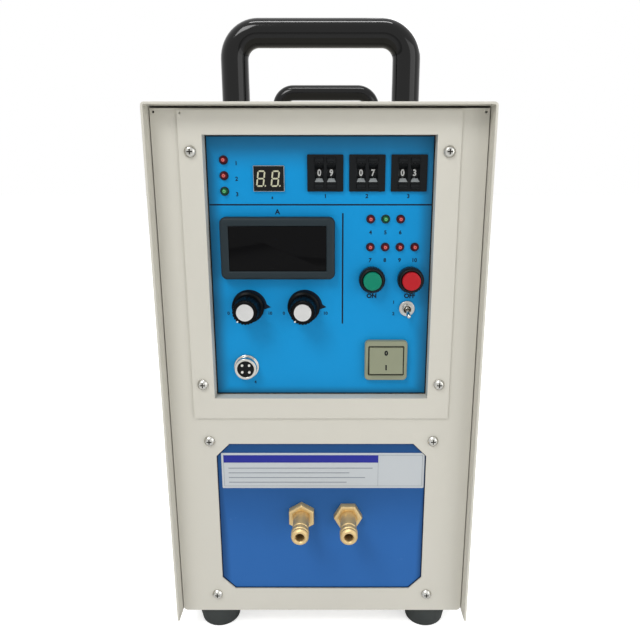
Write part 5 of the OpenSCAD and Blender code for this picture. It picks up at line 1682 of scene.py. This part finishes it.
class HeaterColours(bpy.types.PropertyGroup):
    """Colours of the machine's finishes"""

    cabinet: colour_setting("Cabinet", "Powder coat of the cabinet", "#C9C6BB")
    panel: colour_setting("Control panel", "Blue of the control panel", "#068CCA")
    board: colour_setting("Insulating board", "Blue of the insulating board", "#2862A6")
    handle: colour_setting("Handles", "Plastic of the handles", "#050505")
    brass: colour_setting("Brass", "Metal of the output connectors", "#D9BE8A")
    start: colour_setting("Start button", "Cap of the start button", "#007C60")
    stop: colour_setting("Stop button", "Cap of the stop button", "#B01A22")
    red_lamp: colour_setting("Red lamps", "Lens of the red lamps", "#56090E")
    green_lamp: colour_setting("Green lamps", "Lens of the green lamps", "#0F4F25")
    switch: colour_setting("Power switch", "Plastic of the power switch", "#878B72")


class HeaterSizes(bpy.types.PropertyGroup):
    """Sizes that finish the machine's pieces"""

    sheet_edge: bpy.props.FloatProperty(
        name="Sheet edge", description="Rounding of the sheet's edges", default=0.0004, unit="LENGTH"
    )
    handle_bend: bpy.props.FloatProperty(
        name="Handle bend", description="Bend radius of the handle bars", default=0.017, unit="LENGTH"
    )
    knob_ribs: bpy.props.IntProperty(name="Knob ribs", description="Ribs round a knob", default=24)
    bezel_ribs: bpy.props.IntProperty(name="Bezel ribs", description="Ribs round a button", default=30)


PIECES = (
    HEATER_OT_cabinet,
    HEATER_OT_plates,
    HEATER_OT_print,
    HEATER_OT_label,
    HEATER_OT_handles,
    HEATER_OT_feet,
    HEATER_OT_screws,
    HEATER_OT_display,
    HEATER_OT_meter,
    HEATER_OT_lamps,
    HEATER_OT_timers,
    HEATER_OT_knobs,
    HEATER_OT_buttons,
    HEATER_OT_toggle,
    HEATER_OT_power_switch,
    HEATER_OT_socket,
    HEATER_OT_outputs,
    HEATER_OT_rear,
    HEATER_OT_works,
    HEATER_OT_stage,
)


class HEATER_PT_tools(bpy.types.Panel):
    """Lists the machine's pieces and settings"""

    bl_idname = "HEATER_PT_tools"
    bl_label = "Induction heater"
    bl_space_type = "VIEW_3D"
    bl_region_type = "UI"
    bl_category = "Heater"

    def draw(self, context):
        for settings in (context.scene.heater_sizes, context.scene.heater_colours):
            for name in settings.__annotations__:
                self.layout.prop(settings, name)
        for piece in PIECES:
            self.layout.operator(piece.bl_idname)


CLASSES = (HeaterColours, HeaterSizes, *PIECES, HEATER_PT_tools)


def register():
    """Registers the add-on's classes and settings."""
    for item in CLASSES:
        bpy.utils.register_class(item)
    bpy.types.Scene.heater_colours = bpy.props.PointerProperty(type=HeaterColours)
    bpy.types.Scene.heater_sizes = bpy.props.PointerProperty(type=HeaterSizes)


def unregister():
    """Removes the add-on's classes and settings."""
    del bpy.types.Scene.heater_sizes
    del bpy.types.Scene.heater_colours
    for item in reversed(CLASSES):
        bpy.utils.unregister_class(item)


def main():
    """Builds every piece and the stage."""
    register()
    for piece in PIECES:
        area, name = piece.bl_idname.split(".")
        getattr(getattr(bpy.ops, area), name)()


if __name__ == "__main__":
    main()
